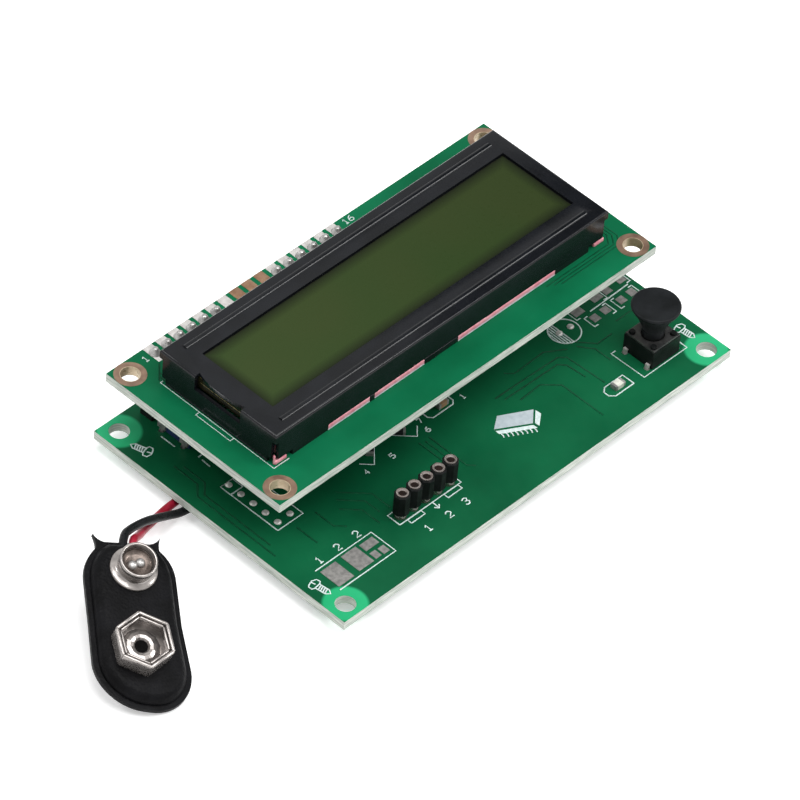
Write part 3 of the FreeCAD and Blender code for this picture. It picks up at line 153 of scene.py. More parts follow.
def shown(tree, unseen, seen):
    """One level for rays that make the picture and another for all the rest."""
    ray = tree.nodes.new("ShaderNodeLightPath").outputs
    passed_on = worked(tree, "ADD", ray["Is Glossy Ray"], ray["Is Transmission Ray"])
    total = worked(tree, "ADD", ray["Is Camera Ray"], passed_on)
    return mapped(tree, total, 0.0, 1.0, unseen, seen)


world = bpy.data.worlds.new("studio_sky")
bpy.context.scene.world = world
world.use_nodes = True
sky = world.node_tree
backdrop = sky.nodes["Background"]
backdrop.inputs["Color"].default_value = (1, 1, 1, 1)
sky.links.new(shown(sky, 0.36, 1.0), backdrop.inputs["Strength"])
print("sky", world.name)

# %% [markdown]
# The floor is a wide plane a hair below the tester. It glows a little in the picture and keeps the
# tester's shadow. The lamps are area lights: a wide one overhead on the camera's side, a small one
# from the right and a weak one from the left. The flat top of the frame mirrors none into the lens.

# %% Floor and lamps
def named(name):
    """The object that an operator has just added, under its own name."""
    thing = bpy.context.object
    thing.name = name
    return thing


def studio_finish(piece, name, grey, shine):
    """A matt grey finish for a piece of the set."""
    finish = bpy.data.materials.new(name)
    finish.use_nodes = True
    shader = finish.node_tree.nodes["Principled BSDF"]
    shader.inputs["Base Color"].default_value = (grey, grey, grey, 1)
    shader.inputs["Roughness"].default_value = 0.9
    shader.inputs["Specular IOR Level"].default_value = shine
    piece.data.materials.append(finish)
    return finish.node_tree, shader


bpy.ops.mesh.primitive_plane_add(size=6.0, location=(0, 0, -0.0002))
floor = named("studio_floor")
bpy.ops.object.transform_apply()
tree, shader = studio_finish(floor, "pale_floor", 0.86, 0.1)
shader.inputs["Emission Color"].default_value = (1, 1, 1, 1)
tree.links.new(shown(tree, 0.0, 0.42), shader.inputs["Emission Strength"])
LAMPS = (
    ("overhead_box", (-0.02, -0.16, 0.75), (0, 0, 0), 0.6, 5.6),
    ("right_box", (0.5, -0.5, 0.55), (0, 0, 0.01), 0.22, 2.4),
    ("left_box", (-0.45, 0.4, 0.65), (0, 0, 0.01), 0.22, 1.6),
)
for name, place, aim, size, power in LAMPS:
    bpy.ops.object.light_add(type="AREA", location=place)
    box = named(name)
    box.data.size = size
    box.data.energy = power
    box.rotation_euler = (Vector(aim) - Vector(place)).to_track_quat("-Z", "Y").to_euler()
print("lamps", len(LAMPS))

# %% [markdown]
# A photographer darkens part of a shiny surface with a black card. This one hangs above and to the
# right, seen only in reflections, so the black frame grows darker towards its right end. It throws no
# shadow and the camera doesn't see it.

# %% Dark card
CARD_SPANS = (0.14, 0.092, 1)
CARD_PLACE = (0.104, -0.006, 0.12)
CARD_TURN = (0, math.radians(44.7), math.radians(40.6))
bpy.ops.mesh.primitive_plane_add(size=1.0, rotation=(0, 0, math.radians(45)))
card = named("dark_card")
card.scale = CARD_SPANS
bpy.ops.object.transform_apply()
card.location = CARD_PLACE
card.rotation_euler = CARD_TURN
bpy.ops.object.transform_apply()
for ray in ("camera", "diffuse", "shadow", "transmission"):
    setattr(card, f"visible_{ray}", False)
studio_finish(card, "card_black", 0.02, 0.5)
print("card", CARD_PLACE)

# %% [markdown]
# A finish is a small net of nodes, and these helpers lay the pieces of it. The net starts from Object
# coordinates, which keep its pattern fixed to the piece from every side.

# %% Nodes for finishes
def shade(red, green, blue):
    """A colour as it looks on screen, as the light values that a shader wants."""
    values = [value / 255 for value in (red, green, blue)]
    linear = [value / 12.92 if value <= 0.04045 else ((value + 0.055) / 1.055) ** 2.4 for value in values]
    return (*linear, 1.0)


def noise_on(tree, place, scale, detail=3.0, stretch=None):
    """A noise on the piece, with its scale in features per millimetre."""
    noise = tree.nodes.new("ShaderNodeTexNoise")
    noise.inputs["Scale"].default_value = scale / MM
    noise.inputs["Detail"].default_value = detail
    if stretch:
        mapping = tree.nodes.new("ShaderNodeMapping")
        mapping.inputs["Scale"].default_value = stretch
        tree.links.new(place, mapping.inputs["Vector"])
        place = mapping.outputs["Vector"]
    tree.links.new(place, noise.inputs["Vector"])
    return noise.outputs["Fac"]


def ramp_on(tree, factor, low, high, start=0.35, stop=0.65):
    """Two screen colours that a factor drifts between."""
    ramp = tree.nodes.new("ShaderNodeValToRGB")
    for element, position, colour in zip(ramp.color_ramp.elements, (start, stop), (low, high)):
        element.position = position
        element.color = shade(*colour)
    tree.links.new(factor, ramp.inputs["Fac"])
    return ramp.outputs["Color"]


def surfaced(tree, shader, factor, gloss, height, relief=None):
    """A factor that varies the roughness and, unless another is given, a relief in millimetres."""
    tree.links.new(mapped(tree, factor, 0.3, 0.7, *gloss), shader.inputs["Roughness"])
    bump = tree.nodes.new("ShaderNodeBump")
    bump.inputs["Distance"].default_value = height * MM
    tree.links.new(relief or factor, bump.inputs["Height"])
    tree.links.new(bump.outputs["Normal"], shader.inputs["Normal"])


def started(name, shine=0.5):
    """An empty finish with its shader and the piece's own coordinates."""
    finish = bpy.data.materials.new(name)
    finish.use_nodes = True
    tree = finish.node_tree
    shader = tree.nodes["Principled BSDF"]
    shader.inputs["Specular IOR Level"].default_value = shine
    return finish, tree, shader, tree.nodes.new("ShaderNodeTexCoord").outputs["Object"]


print("a grey of 128 on screen is", round(shade(128, 128, 128)[0], 3), "of white in light")

# %% [markdown]
# Most finishes follow one recipe: a noise that drifts between two colours, and a finer noise that varies
# the gloss and raises a slight relief. Only the numbers differ from finish to finish.

# %% A recipe for finishes
def mixed(name, low, high, scale, gloss, grain=(3.0, 0.01), metal=0.0, shine=0.5):
    """A finish from two colours, a pair of roughness limits and a grain (scale, height)."""
    finish, tree, shader, place = started(name, shine)
    drift = noise_on(tree, place, scale)
    tree.links.new(ramp_on(tree, drift, low, high), shader.inputs["Base Color"])
    surfaced(tree, shader, noise_on(tree, place, grain[0]), gloss, grain[1])
    shader.inputs["Metallic"].default_value = metal
    return finish


def coat(finish, *names):
    """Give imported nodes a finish."""
    for name in names:
        materials = nodes[name].data.materials
        materials.clear()
        materials.append(finish)


moulding = mixed("moulded_black", (15, 17, 17), (26, 28, 28), 0.6, (0.3, 0.5), (6.0, 0.01), shine=0.11)
solder = mixed("bright_solder", (144, 143, 141), (182, 180, 178), 1.2, (0.22, 0.4), (1.5, 0.03), 0.55)
nickel = mixed("snap_plating", (136, 131, 128), (172, 166, 162), 0.5, (0.12, 0.24), (2.5, 0.006), 0.72)
epoxy = mixed("potting_black", (12, 13, 14), (20, 21, 23), 0.5, (0.25, 0.45), (3.0, 0.02), shine=0.09)
print("finishes", len(bpy.data.materials))

# %% [markdown]
# A circuit board is a sheet of pale glass laminate with a green lacquer on both faces. The lacquer is
# told from the laminate by height: only points within 0.03 mm of the two faces are green. Round the
# screw holes there is no copper under the lacquer, so light comes through it and it glows.

# %% Board lacquer
LACQUER_DEPTH = 0.03
LACQUER_SHINE = 0.075
GLOW_BLUR = 0.25


def axes_of(tree, place):
    """The three numbers of a place, each under its letter."""
    parts = tree.nodes.new("ShaderNodeSeparateXYZ")
    tree.links.new(place, parts.inputs["Vector"])
    return parts.outputs


def off_centre(tree, value, centre):
    """How far a value lies from a centre, on either side."""
    return worked(tree, "ABSOLUTE", worked(tree, "SUBTRACT", value, centre))


def blended(tree, factor, base, top):
    """Lay one colour over another where a factor says so."""
    mix = tree.nodes.new("ShaderNodeMix")
    mix.data_type = "RGBA"
    feed(tree, factor, mix.inputs["Factor"])
    tree.links.new(base, mix.inputs[6])
    tree.links.new(top, mix.inputs[7])
    return mix.outputs[2]


def lacquered(name, board, low, high, holes, glow_radius):
    """Coat a board: green lacquer on its faces and bare laminate on its edges."""
    finish, tree, shader, place = started(name, LACQUER_SHINE)
    lowest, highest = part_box(board)
    parts = axes_of(tree, place)
    above = worked(tree, "GREATER_THAN", parts["Z"], highest.z - LACQUER_DEPTH * MM)
    below = worked(tree, "LESS_THAN", parts["Z"], lowest.z + LACQUER_DEPTH * MM)
    face = worked(tree, "MAXIMUM", above, below)
    squares = []
    for axis, centre, reach in zip("XY", (lowest + highest) / 2, holes):
        aside = worked(tree, "SUBTRACT", off_centre(tree, parts[axis], centre), reach * MM)
        squares.append(worked(tree, "MULTIPLY", aside, aside))
    distance = worked(tree, "SQRT", worked(tree, "ADD", *squares))
    glow = mapped(tree, distance, (glow_radius + GLOW_BLUR) * MM, (glow_radius - GLOW_BLUR) * MM)
    clouds = noise_on(tree, place, 0.06, 4.0)
    green = ramp_on(tree, clouds, low, high)
    bright = ramp_on(tree, clouds, (34, 156, 102), (50, 174, 120))
    fibres = noise_on(tree, place, 1.2, 4.0, (0.25, 0.25, 3.0))
    laminate = ramp_on(tree, fibres, (170, 180, 170), (216, 220, 212))
    colour = blended(tree, face, laminate, blended(tree, glow, green, bright))
    tree.links.new(colour, shader.inputs["Base Color"])
    surfaced(tree, shader, noise_on(tree, place, 0.9, 2.0), (0.3, 0.42), 0.006)
    coat(finish, board)


MAIN_HOLES = (38.75, 23.5)
DISPLAY_HOLES = (37.5, 15.5)
lacquered("main_lacquer", "main_board", (9, 76, 47), (16, 92, 58), MAIN_HOLES, 3.4)
lacquered("display_lacquer", "display_board", (5, 88, 55), (12, 104, 68), DISPLAY_HOLES, 1.7)
print("boards coated")

# %% [markdown]
# Blender's operators work on what is selected. One helper selects a single piece, two enter and leave
# edit mode with all of its mesh selected, and one settles a finished piece on the tester.

# %% Handling a piece
def only(piece):
    """Select one piece and nothing else."""
    bpy.ops.object.select_all(action="DESELECT")
    piece.select_set(True)
    bpy.context.view_layer.objects.active = piece


def opened(piece):
    """Enter edit mode on one piece with all of its mesh selected."""
    only(piece)
    bpy.ops.object.mode_set(mode="EDIT")
    bpy.ops.mesh.select_all(action="SELECT")


def closed():
    """Turn all faces outwards and leave edit mode."""
    bpy.ops.mesh.select_all(action="SELECT")
    bpy.ops.mesh.normals_make_consistent(inside=False)
    bpy.ops.object.mode_set(mode="OBJECT")


def placed(piece, finish):
    """Settle a finished piece: its place goes into its mesh, and it rides on the tester."""
    only(piece)
    bpy.ops.object.transform_apply()
    piece.data.materials.clear()
    piece.data.materials.append(finish)
    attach(piece, "tester")
    return piece


print("packed pieces", len(nodes))

# %% [markdown]
# Print on a board is a thin white ink line, and the copper under the lacquer shows as faint darker
# lines. Both are drawn with a pen: a curve with a small bevel is turned into a mesh and then pressed
# flat. A curve is quicker here than cutting faces, because each line is just a list of points.

# %% A pen for print and tracks
BOARD_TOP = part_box("main_board")[1].z / MM
DISPLAY_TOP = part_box("display_board")[1].z / MM


def inked(name, lines, width, level, finish, share=0.16):
    """Lines of ink on a board, each a list of x and y, pressed to a share of their height."""
    curve = bpy.data.curves.new(name, "CURVE")
    curve.dimensions = "3D"
    curve.bevel_depth = width / 2 * MM
    curve.bevel_resolution = 0
    curve.use_fill_caps = True
    for line in lines:
        spline = curve.splines.new("POLY")
        spline.points.add(len(line) - 1)
        for point, (x, y) in zip(spline.points, line):
            point.co = (x * MM, y * MM, level * MM, 1)
    piece = bpy.data.objects.new(name, curve)
    bpy.context.collection.objects.link(piece)
    only(piece)
    bpy.ops.object.convert(target="MESH")
    piece = bpy.context.object
    opened(piece)
    bpy.ops.transform.resize(value=(1, 1, share), center_override=(0, 0, level * MM))
    closed()
    placed(piece, finish)
    print(name, len(lines), "lines")


white_ink = mixed("white_ink", (196, 214, 212), (222, 234, 232), 2.5, (0.5, 0.7), (5.0, 0.004))
print("board tops", BOARD_TOP, DISPLAY_TOP)

# %% [markdown]
# Plain numbers count the pads and the pins. A typeface would bring in far more points than a pen
# needs, so each figure is a few strokes in a box of unit height.

# %% Figures in pen strokes
STROKES = {
    "1": [[(0.15, 0.75), (0.4, 1.0), (0.4, 0.0)], [(0.15, 0.0), (0.65, 0.0)]],
    "2": [[(0.0, 0.78), (0.2, 1.0), (0.5, 1.0), (0.7, 0.78), (0.7, 0.58), (0.0, 0.0), (0.7, 0.0)]],
    "3": [[(0.0, 0.85), (0.2, 1.0), (0.5, 1.0), (0.7, 0.8), (0.5, 0.55), (0.25, 0.55)],
          [(0.5, 0.55), (0.7, 0.3), (0.5, 0.0), (0.2, 0.0), (0.0, 0.15)]],
    "4": [[(0.55, 0.0), (0.55, 1.0), (0.0, 0.35), (0.75, 0.35)]],
    "5": [[(0.7, 1.0), (0.05, 1.0), (0.0, 0.55), (0.5, 0.6), (0.7, 0.4), (0.7, 0.2), (0.5, 0.0),
           (0.0, 0.05)]],
    "6": [[(0.65, 1.0), (0.2, 0.8), (0.0, 0.4), (0.0, 0.15), (0.2, 0.0), (0.5, 0.0), (0.7, 0.2),
           (0.7, 0.4), (0.5, 0.55), (0.0, 0.45)]],
    "7": [[(0.0, 1.0), (0.7, 1.0), (0.25, 0.0)]],
}
FIGURE_WIDTH = 0.7
FIGURE_PITCH = 1.05


def figures(text, x, y, height):
    """Plain numbers in pen strokes, centred on a place."""
    left = -(FIGURE_WIDTH + FIGURE_PITCH * (len(text) - 1)) / 2
    lines = []
    for index, figure in enumerate(text):
        for stroke in STROKES[figure]:
            lines.append([(x + (left + FIGURE_PITCH * index + across) * height, y + (up - 0.5) * height)
                          for across, up in stroke])
    return lines


print("figures", " ".join(STROKES))

# %% [markdown]
# The main board's print marks the test socket, the surface pads, the button, the port and the places
# of bare pads. Most of these outlines are straight runs. A round one stands for a can, and lines across
# one side of it mark a pole.

# %% Outlines on the main board
def frame_line(x0, y0, x1, y1):
    """A closed rectangle."""
    return [(x0, y0), (x1, y0), (x1, y1), (x0, y1), (x0, y0)]


CAN_X, CAN_Y, CAN_RADIUS = 25.6, -6.4, 2.58
main_lines = [
    frame_line(-21.65, -17.82, -8.7, -15.3),
    frame_line(-20.1, -18.72, -17.25, -17.87), frame_line(-12.4, -18.75, -9.45, -17.87),
    [(-14.8, -17.85), (-14.87, -19.25)], [(-15.35, -18.75), (-14.87, -19.3), (-14.35, -18.75)],
    [(-37.4, -16.0), (-25.8, -16.0), (-25.8, -21.05), (-37.4, -21.05)],
    [(28.3, -14.45), (27.35, -14.45), (27.45, -21.2), (36.85, -21.2), (36.9, -19.6)],
    frame_line(-35.7, -6.6, -30.5, 5.3), frame_line(-35.7, 3.15, -33.2, 5.3),
    [(25.35, -21.0), (21.4, -21.0), (20.6, -20.3), (20.6, -19.3), (21.4, -18.65), (25.35, -18.65),
     (25.35, -21.0)],
    [(-2.8, -4.0), (-2.8, -5.2), (-2.2, -5.8), (2.0, -5.8), (2.6, -5.2), (2.6, -4.0)],
    [(31.6, -6.1), (40.2, -5.9)],
    [(-34.9, 18.6), (-34.9, 15.7)], [(-32.7, 11.9), (-33.9, 11.8)], [(-33.8, 11.1), (-33.9, 9.3)],
]
for x, y, side, half in ((29.75, -7.7, -1, 1.15), (34.6, -7.6, 1, 1.15), (35.6, -7.7, -1, 1.15),
                         (40.4, -7.6, 1, 1.15), (28.7, -4.9, -1, 1.2), (35.7, -4.6, 1, 1.2),
                         (41.0, -4.4, 1, 1.2)):
    arm = x - side * 0.75
    main_lines.append([(arm, y + half), (x, y + half), (x, y - half), (arm, y - half)])
around = [math.radians(9 * step) for step in range(41)]
main_lines.append([(CAN_X + CAN_RADIUS * math.cos(angle), CAN_Y + CAN_RADIUS * math.sin(angle))
                   for angle in around])
for step in range(5):
    hatch = -2.2 + 0.42 * step
    rise = math.sqrt(CAN_RADIUS ** 2 - hatch ** 2)
    main_lines.append([(CAN_X + hatch, CAN_Y - rise), (CAN_X + hatch, CAN_Y + rise)])
print("outlines", len(main_lines))

# %% [markdown]
# The tester is a plain one, so the rest of its print is plain numbers and simple pictures: a screw
# beside three of the holes, the corners of two parts and the legs of a chip. A picture is drawn once
# and then moved and turned to its places.

# %% Pictures and numbers on the main board
def turned_line(line, x, y, degrees):
    """A line moved to a place and turned."""
    cos, sin = math.cos(math.radians(degrees)), math.sin(math.radians(degrees))
    return [(x + px * cos - py * sin, y + px * sin + py * cos) for px, py in line]


HEAD = [(-2.2, -0.5), (-2.35, 0.3), (-1.9, 0.95), (-1.1, 1.0), (-0.8, 0.6), (-0.8, -0.6), (-1.1, -1.0),
        (-1.9, -0.95), (-2.2, -0.5)]
SHANK = [(-0.8, 0.5), (1.5, 0.5), (2.3, 0.0), (1.5, -0.5), (-0.8, -0.5)]
THREAD = [[(-0.4 + 0.5 * turn, 0.5), (-0.1 + 0.5 * turn, -0.5)] for turn in range(4)]
SLOT = [(-2.2, 0.0), (-1.3, 0.1)]
SCREW = [[(0.78 * px, 1.014 * py) for px, py in line] for line in (HEAD, SHANK, *THREAD, SLOT)]
CHIP_CORNER = [(-2.0, 1.1), (-2.0, -1.1), (2.0, -1.1), (2.0, 1.1)]
main_lines += [turned_line(CHIP_CORNER, -7.4, -4.7, -45), turned_line(CHIP_CORNER, -15.0, -4.5, 45)]
for x, y, degrees in ((-39.2, -18.9, 278), (-38.9, 18.7, 107), (39.15, -18.8, 275)):
    main_lines += [turned_line(line, x, y, degrees) for line in SCREW]
for text, x, y, height in (
        ("1", -19.0, -21.0, 1.25), ("2", -14.7, -21.2, 1.25), ("3", -10.95, -21.0, 1.25),
        ("1", -35.5, -14.8, 1.25), ("2", -31.6, -14.8, 1.25), ("2", -27.7, -14.8, 1.25),
        ("6", -4.6, -6.9, 0.95), ("7", -4.2, -4.9, 0.95), ("5", -12.4, -7.2, 0.95),
        ("4", -17.6, -7.0, 0.95), ("1", 4.2, -5.6, 0.95)):
    main_lines += figures(text, x, y, height)
for leg in range(8):
    share = leg / 7
    x, y = 2.9 + 4.5 * share, -14.9 - 2.55 * share
    main_lines.append([(x, y), (x - 0.04, y - 0.45), (x - 0.24, y - 0.85)])
inked("main_print", main_lines, 0.26, BOARD_TOP, white_ink)

# %% [markdown]
# The chip picture is filled with ink: a grey top, a white front and a white end, with the lacquer left
# bare between them as outlines. A plane has the right four corners to start from: each corner is
# moved to its place, and an extrusion gives the ink its thin body.

# %% A filled patch of ink
INK_BODY = 0.012
CHIP_TOP = [(5.1, -11.94), (10.14, -14.67), (7.99, -16.6), (2.79, -13.58)]
CHIP_FRONT = [(2.66, -13.99), (7.78, -16.89), (7.83, -17.72), (2.63, -14.8)]
CHIP_END = [(10.26, -14.98), (10.38, -16.02), (8.33, -17.61), (8.25, -16.79)]


def patched(name, corners, level, finish):
    """A filled four-cornered patch of ink."""
    bpy.ops.mesh.primitive_plane_add(size=2 * MM, location=(0, 0, 0))
    piece = named(name)
    for vertex, corner in zip(piece.data.vertices, (corners[0], corners[1], corners[3], corners[2])):
        vertex.co = (corner[0] * MM, corner[1] * MM, level * MM)
    opened(piece)
    bpy.ops.mesh.extrude_region_move(TRANSFORM_OT_translate={"value": (0, 0, INK_BODY * MM)})
    closed()
    placed(piece, finish)


grey_ink = mixed("grey_ink", (166, 178, 184), (182, 193, 198), 1.2, (0.5, 0.7), (5.0, 0.004))
patched("chip_picture_top", CHIP_TOP, BOARD_TOP, grey_ink)
patched("chip_picture_front", CHIP_FRONT, BOARD_TOP, white_ink)
patched("chip_picture_end", CHIP_END, BOARD_TOP, white_ink)
print("patches 3")

# %% [markdown]
# Tracks run under the lacquer in straight runs with corners of 45 degrees. A few of them show on the
# open part of the main board and beside the display. They are pressed flatter than the print.

# %% Tracks
TRACK_SHARE = 0.06


def track_finish(name, low, high):
    """The lacquer's darker shade where copper lies under it."""
    return mixed(name, low, high, 0.8, (0.3, 0.42), (2.0, 0.004), shine=LACQUER_SHINE)


tracks = [
    [(7.5, -9.3), (12.3, -9.4), (20.8, -9.6), (21.8, -10.5), (22.2, -18.0)],
    [(8.4, -10.4), (19.6, -10.6), (20.6, -11.6), (20.9, -15.2)],
    [(12.3, -6.5), (13.5, -7.6), (19.9, -7.4), (23.2, -9.4)],
    [(24.6, -9.9), (26.3, -12.1), (26.3, -15.3)], [(25.2, -9.2), (27.4, -11.6), (30.6, -11.6)],
    [(10.1, -12.0), (14.6, -11.8), (17.0, -14.0), (17.0, -22.5)],
    [(-7.6, -8.0), (-7.6, -13.0), (-8.6, -14.0)], [(-6.6, -8.4), (-6.6, -14.0)],
    [(-5.6, -8.2), (-5.6, -16.0), (-4.6, -17.0)],
    [(-25.0, -8.0), (-22.0, -11.0), (-22.0, -14.0)], [(-24.0, -6.8), (-20.2, -10.6), (-20.2, -14.4)],
    [(-26.0, -9.6), (-23.6, -12.0), (-23.6, -15.6)],
    [(-36.8, 12.0), (-36.8, 7.5), (-38.6, 5.7), (-38.6, -8.0)],
    [(-37.8, 13.0), (-37.8, 8.0), (-39.6, 6.2), (-39.6, -10.0)],
    [(-29.0, -7.6), (-29.0, -11.4), (-27.6, -12.8)], [(-33.2, -8.0), (-33.2, -12.2)],
    [(33.0, -10.2), (38.0, -10.2), (39.4, -11.6)],
]
dark_track = track_finish("lacquered_track", (7, 68, 42), (12, 82, 52))
inked("main_tracks", tracks, 0.3, BOARD_TOP, dark_track, TRACK_SHARE)
display_tracks = []
for step in range(3):
    shift = 0.55 * step
    left, right, low = -35.0 - shift, 35.3 + shift, -6.2 - shift
    display_tracks.append([(left + 1.4, 21.0 - shift), (left, 19.6 - shift), (left, 17.6)])
    display_tracks.append([(right, 6.0), (right, low + 1.6), (right - 1.3, low), (20.4 + 2 * shift, low)])
display_track = track_finish("display_track", (4, 72, 45), (9, 86, 56))
inked("display_tracks", display_tracks, 0.24, DISPLAY_TOP, display_track, TRACK_SHARE)

# %% [markdown]
# On the display board the print follows the frame's outline and numbers the two ends of the row of
# pins. The frame's left and front sides are worked out here from its middle.

# %% Print on the display board
DISPLAY_X, DISPLAY_Y = -0.9, 6.7
FRAME_HALF_X, FRAME_HALF_Y = 35.2, 12.0
LEFT = DISPLAY_X - FRAME_HALF_X
FRONT = DISPLAY_Y - FRAME_HALF_Y
corner_x, corner_y = LEFT - 0.2, FRONT - 0.2
display_lines = [
    [(LEFT + 0.3, 18.0), (corner_x, 18.0), (corner_x, corner_y), (-33.2, corner_y)],
    [(corner_x, 9.85), (LEFT - 1.0, 9.85), (LEFT - 1.0, 2.75), (corner_x, 2.75)],
]
display_lines += figures("1", -34.6, 23.0, 1.1) + figures("16", 8.6, 23.75, 1.1)
inked("display_print", display_lines, 0.2, DISPLAY_TOP, white_ink)

# %% [markdown]
# The row's pads reach the back edge. Twelve of them carry pins under mounds of solder, and the four in
# the middle are empty: one is tinned and the others are bare copper. A pad is a thin block with
# softened edges that is copied along the row.

# %% Pads on the display board
FIRST_PIN = -32.6
PITCH = 2.54
PAD_SPANS = (1.8, 3.5, 0.06)
BACK_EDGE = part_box("display_board")[1].y / MM


def joined(pieces):
    """Join pieces into the first one."""
    only(pieces[0])
    for piece in pieces:
        piece.select_set(True)
    bpy.ops.object.join()
    return pieces[0]


def repeated(piece, offsets):
    """Copy a piece to each offset after the first, in millimetres, and join the copies to it."""
    copies = [piece]
    for dx, dy in offsets[1:]:
        only(piece)
        bpy.ops.object.duplicate(linked=False)
        copy = bpy.context.object
        copy.location += Vector((dx, dy, 0)) * MM
        copies.append(copy)
    return joined(copies)


def tablet(name, centre, spans, bevel, segments=2):
    """A block with softened edges, given by its centre and spans in millimetres."""
    bpy.ops.mesh.primitive_cube_add(size=1.0, location=[value * MM for value in centre])
    piece = named(name)
    opened(piece)
    bpy.ops.transform.resize(value=[value * MM for value in spans])
    bpy.ops.mesh.bevel(offset=bevel * MM, segments=segments, affect="EDGES")
    bpy.ops.object.mode_set(mode="OBJECT")
    bpy.ops.object.shade_smooth_by_angle(angle=math.radians(40))
    return piece


bright_tin = mixed("bright_tin", (184, 181, 178), (209, 206, 203), 0.9, (0.3, 0.45), (1.4, 0.02), 0.3)
bare_copper = mixed("bare_copper", (134, 102, 78), (157, 125, 100), 0.8, (0.3, 0.5), (2.0, 0.01), 0.75)
pad_y = BACK_EDGE - PAD_SPANS[1] / 2
for name, ways, finish in (("tinned_row", [*range(7), *range(10, 16)], bright_tin),
                           ("copper_row", [7, 8, 9], bare_copper)):
    first = (FIRST_PIN + PITCH * ways[0], pad_y, DISPLAY_TOP + PAD_SPANS[2] / 2)
    pad = tablet(name, first, PAD_SPANS, 0.02)
    placed(repeated(pad, [(PITCH * (way - ways[0]), 0) for way in ways]), finish)
print("pads at", round(pad_y, 2))

# %% [markdown]
# Round pieces are turned as on a lathe. A circle is the first ring; each further ring is an extrusion
# that is moved up and scaled about the axis. The same helper makes solder mounds, plated holes, the
# test socket's barrels and the snap's stud, so the profile is all that changes.

# %% A lathe
def lathed(name, rings, centre, steps=40, hollow=False, start=0.0, smooth=40.0):
    """A turned piece from rings of radius and height. A hollow one ends on its first ring."""
    x, y, z = [value * MM for value in centre]
    radius, height = rings[0]
    bpy.ops.mesh.primitive_circle_add(
        vertices=steps, radius=radius * MM, fill_type="NOTHING" if hollow else "NGON",
        location=(x, y, z + height * MM), rotation=(0, 0, math.radians(start)))
    piece = named(name)
    opened(piece)
    for next_radius, next_height in rings[1:] + rings[:1] if hollow else rings[1:]:
        step_up = (0, 0, (next_height - height) * MM)
        bpy.ops.mesh.extrude_region_move(TRANSFORM_OT_translate={"value": step_up})
        share = next_radius / radius
        bpy.ops.transform.resize(value=(share, share, 1), center_override=(x, y, 0))
        radius, height = next_radius, next_height
    if hollow:
        bpy.ops.mesh.select_all(action="SELECT")
        bpy.ops.mesh.remove_doubles(threshold=0.00001 * MM)
    closed()
    if smooth:
        bpy.ops.object.shade_smooth_by_angle(angle=math.radians(smooth))
    return piece


MOUND = [(0.98, 0.05), (0.94, 0.14), (0.8, 0.3), (0.63, 0.5), (0.52, 0.72), (0.45, 0.95), (0.32, 1.08),
         (0.12, 1.13)]
PIN_ROW = 22.9
PIN_WAYS = [*range(6), *range(10, 16)]
mound = lathed("pin_solder", MOUND, (FIRST_PIN, PIN_ROW, DISPLAY_TOP), steps=24)
placed(repeated(mound, [(PITCH * way, 0) for way in PIN_WAYS]), solder)
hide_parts("display_solder")
print("mounds", len(PIN_WAYS))

# %% [markdown]
# Each of the display board's four screw holes is plated: a copper ring on both faces and a thin brass
# coloured wall between them, like an eyelet.

# %% Plated screw holes
COPPER = 0.04
RING, HOLE, LINED, INSIDE = 2.5, 1.6, 1.59, 1.5
board_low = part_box("display_board")[0].z / MM
thick = DISPLAY_TOP - board_low
EYELET = [(LINED, -COPPER), (RING, -COPPER), (RING, 0.0), (HOLE, 0.0), (HOLE, thick), (RING, thick),
          (RING, thick + COPPER), (LINED, thick + COPPER)]
WALL = [(INSIDE, -0.05), (LINED, -0.05), (LINED, thick + 0.05), (INSIDE, thick + 0.05)]
plated = mixed("plated_copper", (120, 96, 80), (148, 121, 101), 0.6, (0.3, 0.46), (2.0, 0.01), 0.5)
brass = mixed("plated_bore", (177, 158, 129), (203, 186, 158), 0.6, (0.25, 0.4), (2.0, 0.01), 0.4)
first_hole = (DISPLAY_X - DISPLAY_HOLES[0], DISPLAY_Y - DISPLAY_HOLES[1], board_low)
apart_x, apart_y = [2 * reach for reach in DISPLAY_HOLES]
hole_offsets = [(0, 0), (apart_x, 0), (0, apart_y), (apart_x, apart_y)]
for name, rings, finish in (("hole_plating", EYELET, plated), ("hole_walls", WALL, brass)):
    sleeve = lathed(name, rings, first_hole, steps=48, hollow=True)
    placed(repeated(sleeve, hole_offsets), finish)
print("holes", len(hole_offsets))

# %% [markdown]
# The display's frame is pressed from sheet and sprayed satin black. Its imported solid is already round
# along its outer top edges, but the other edges are razor sharp, and pressed sheet is soft there too.
# A copy of the solid is merged, its flat faces are joined up and a bevel rounds the edges. Hardened
# normals keep the flat faces flat in the light. The copy then stands for the solid.

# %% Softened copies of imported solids
def bevelled(piece, width, segments, limit, hard=False):
    """Round the edges of a piece that turn by more than a limit in degrees."""
    bevel = piece.modifiers.new("round", "BEVEL")
    bevel.width = width * MM
    bevel.segments = segments
    bevel.limit_method = "ANGLE"
    bevel.angle_limit = math.radians(limit)
    bevel.harden_normals = hard
    bpy.ops.object.modifier_apply(modifier=bevel.name)


def softened(name, node, width, finish):
    """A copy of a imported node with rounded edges, in place of the node."""
    piece = bpy.data.objects.new(name, nodes[node].data.copy())
    bpy.context.collection.objects.link(piece)
    opened(piece)
    bpy.ops.mesh.remove_doubles(threshold=0.0005 * MM)
    bpy.ops.mesh.dissolve_limited(angle_limit=math.radians(0.5))
    bpy.ops.object.mode_set(mode="OBJECT")
    bpy.ops.object.shade_smooth_by_angle(angle=math.radians(35))
    bevelled(piece, width, 2, 40, hard=True)
    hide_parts(node)
    print(name, len(piece.data.polygons), "faces")
    return placed(piece, finish)


frame_paint = mixed("satin_black", (14, 16, 19), (20, 22, 26), 0.25, (0.16, 0.24), (2.2, 0.0012),
                    shine=0.21)
softened("pressed_frame", "display_frame", 0.16, frame_paint)
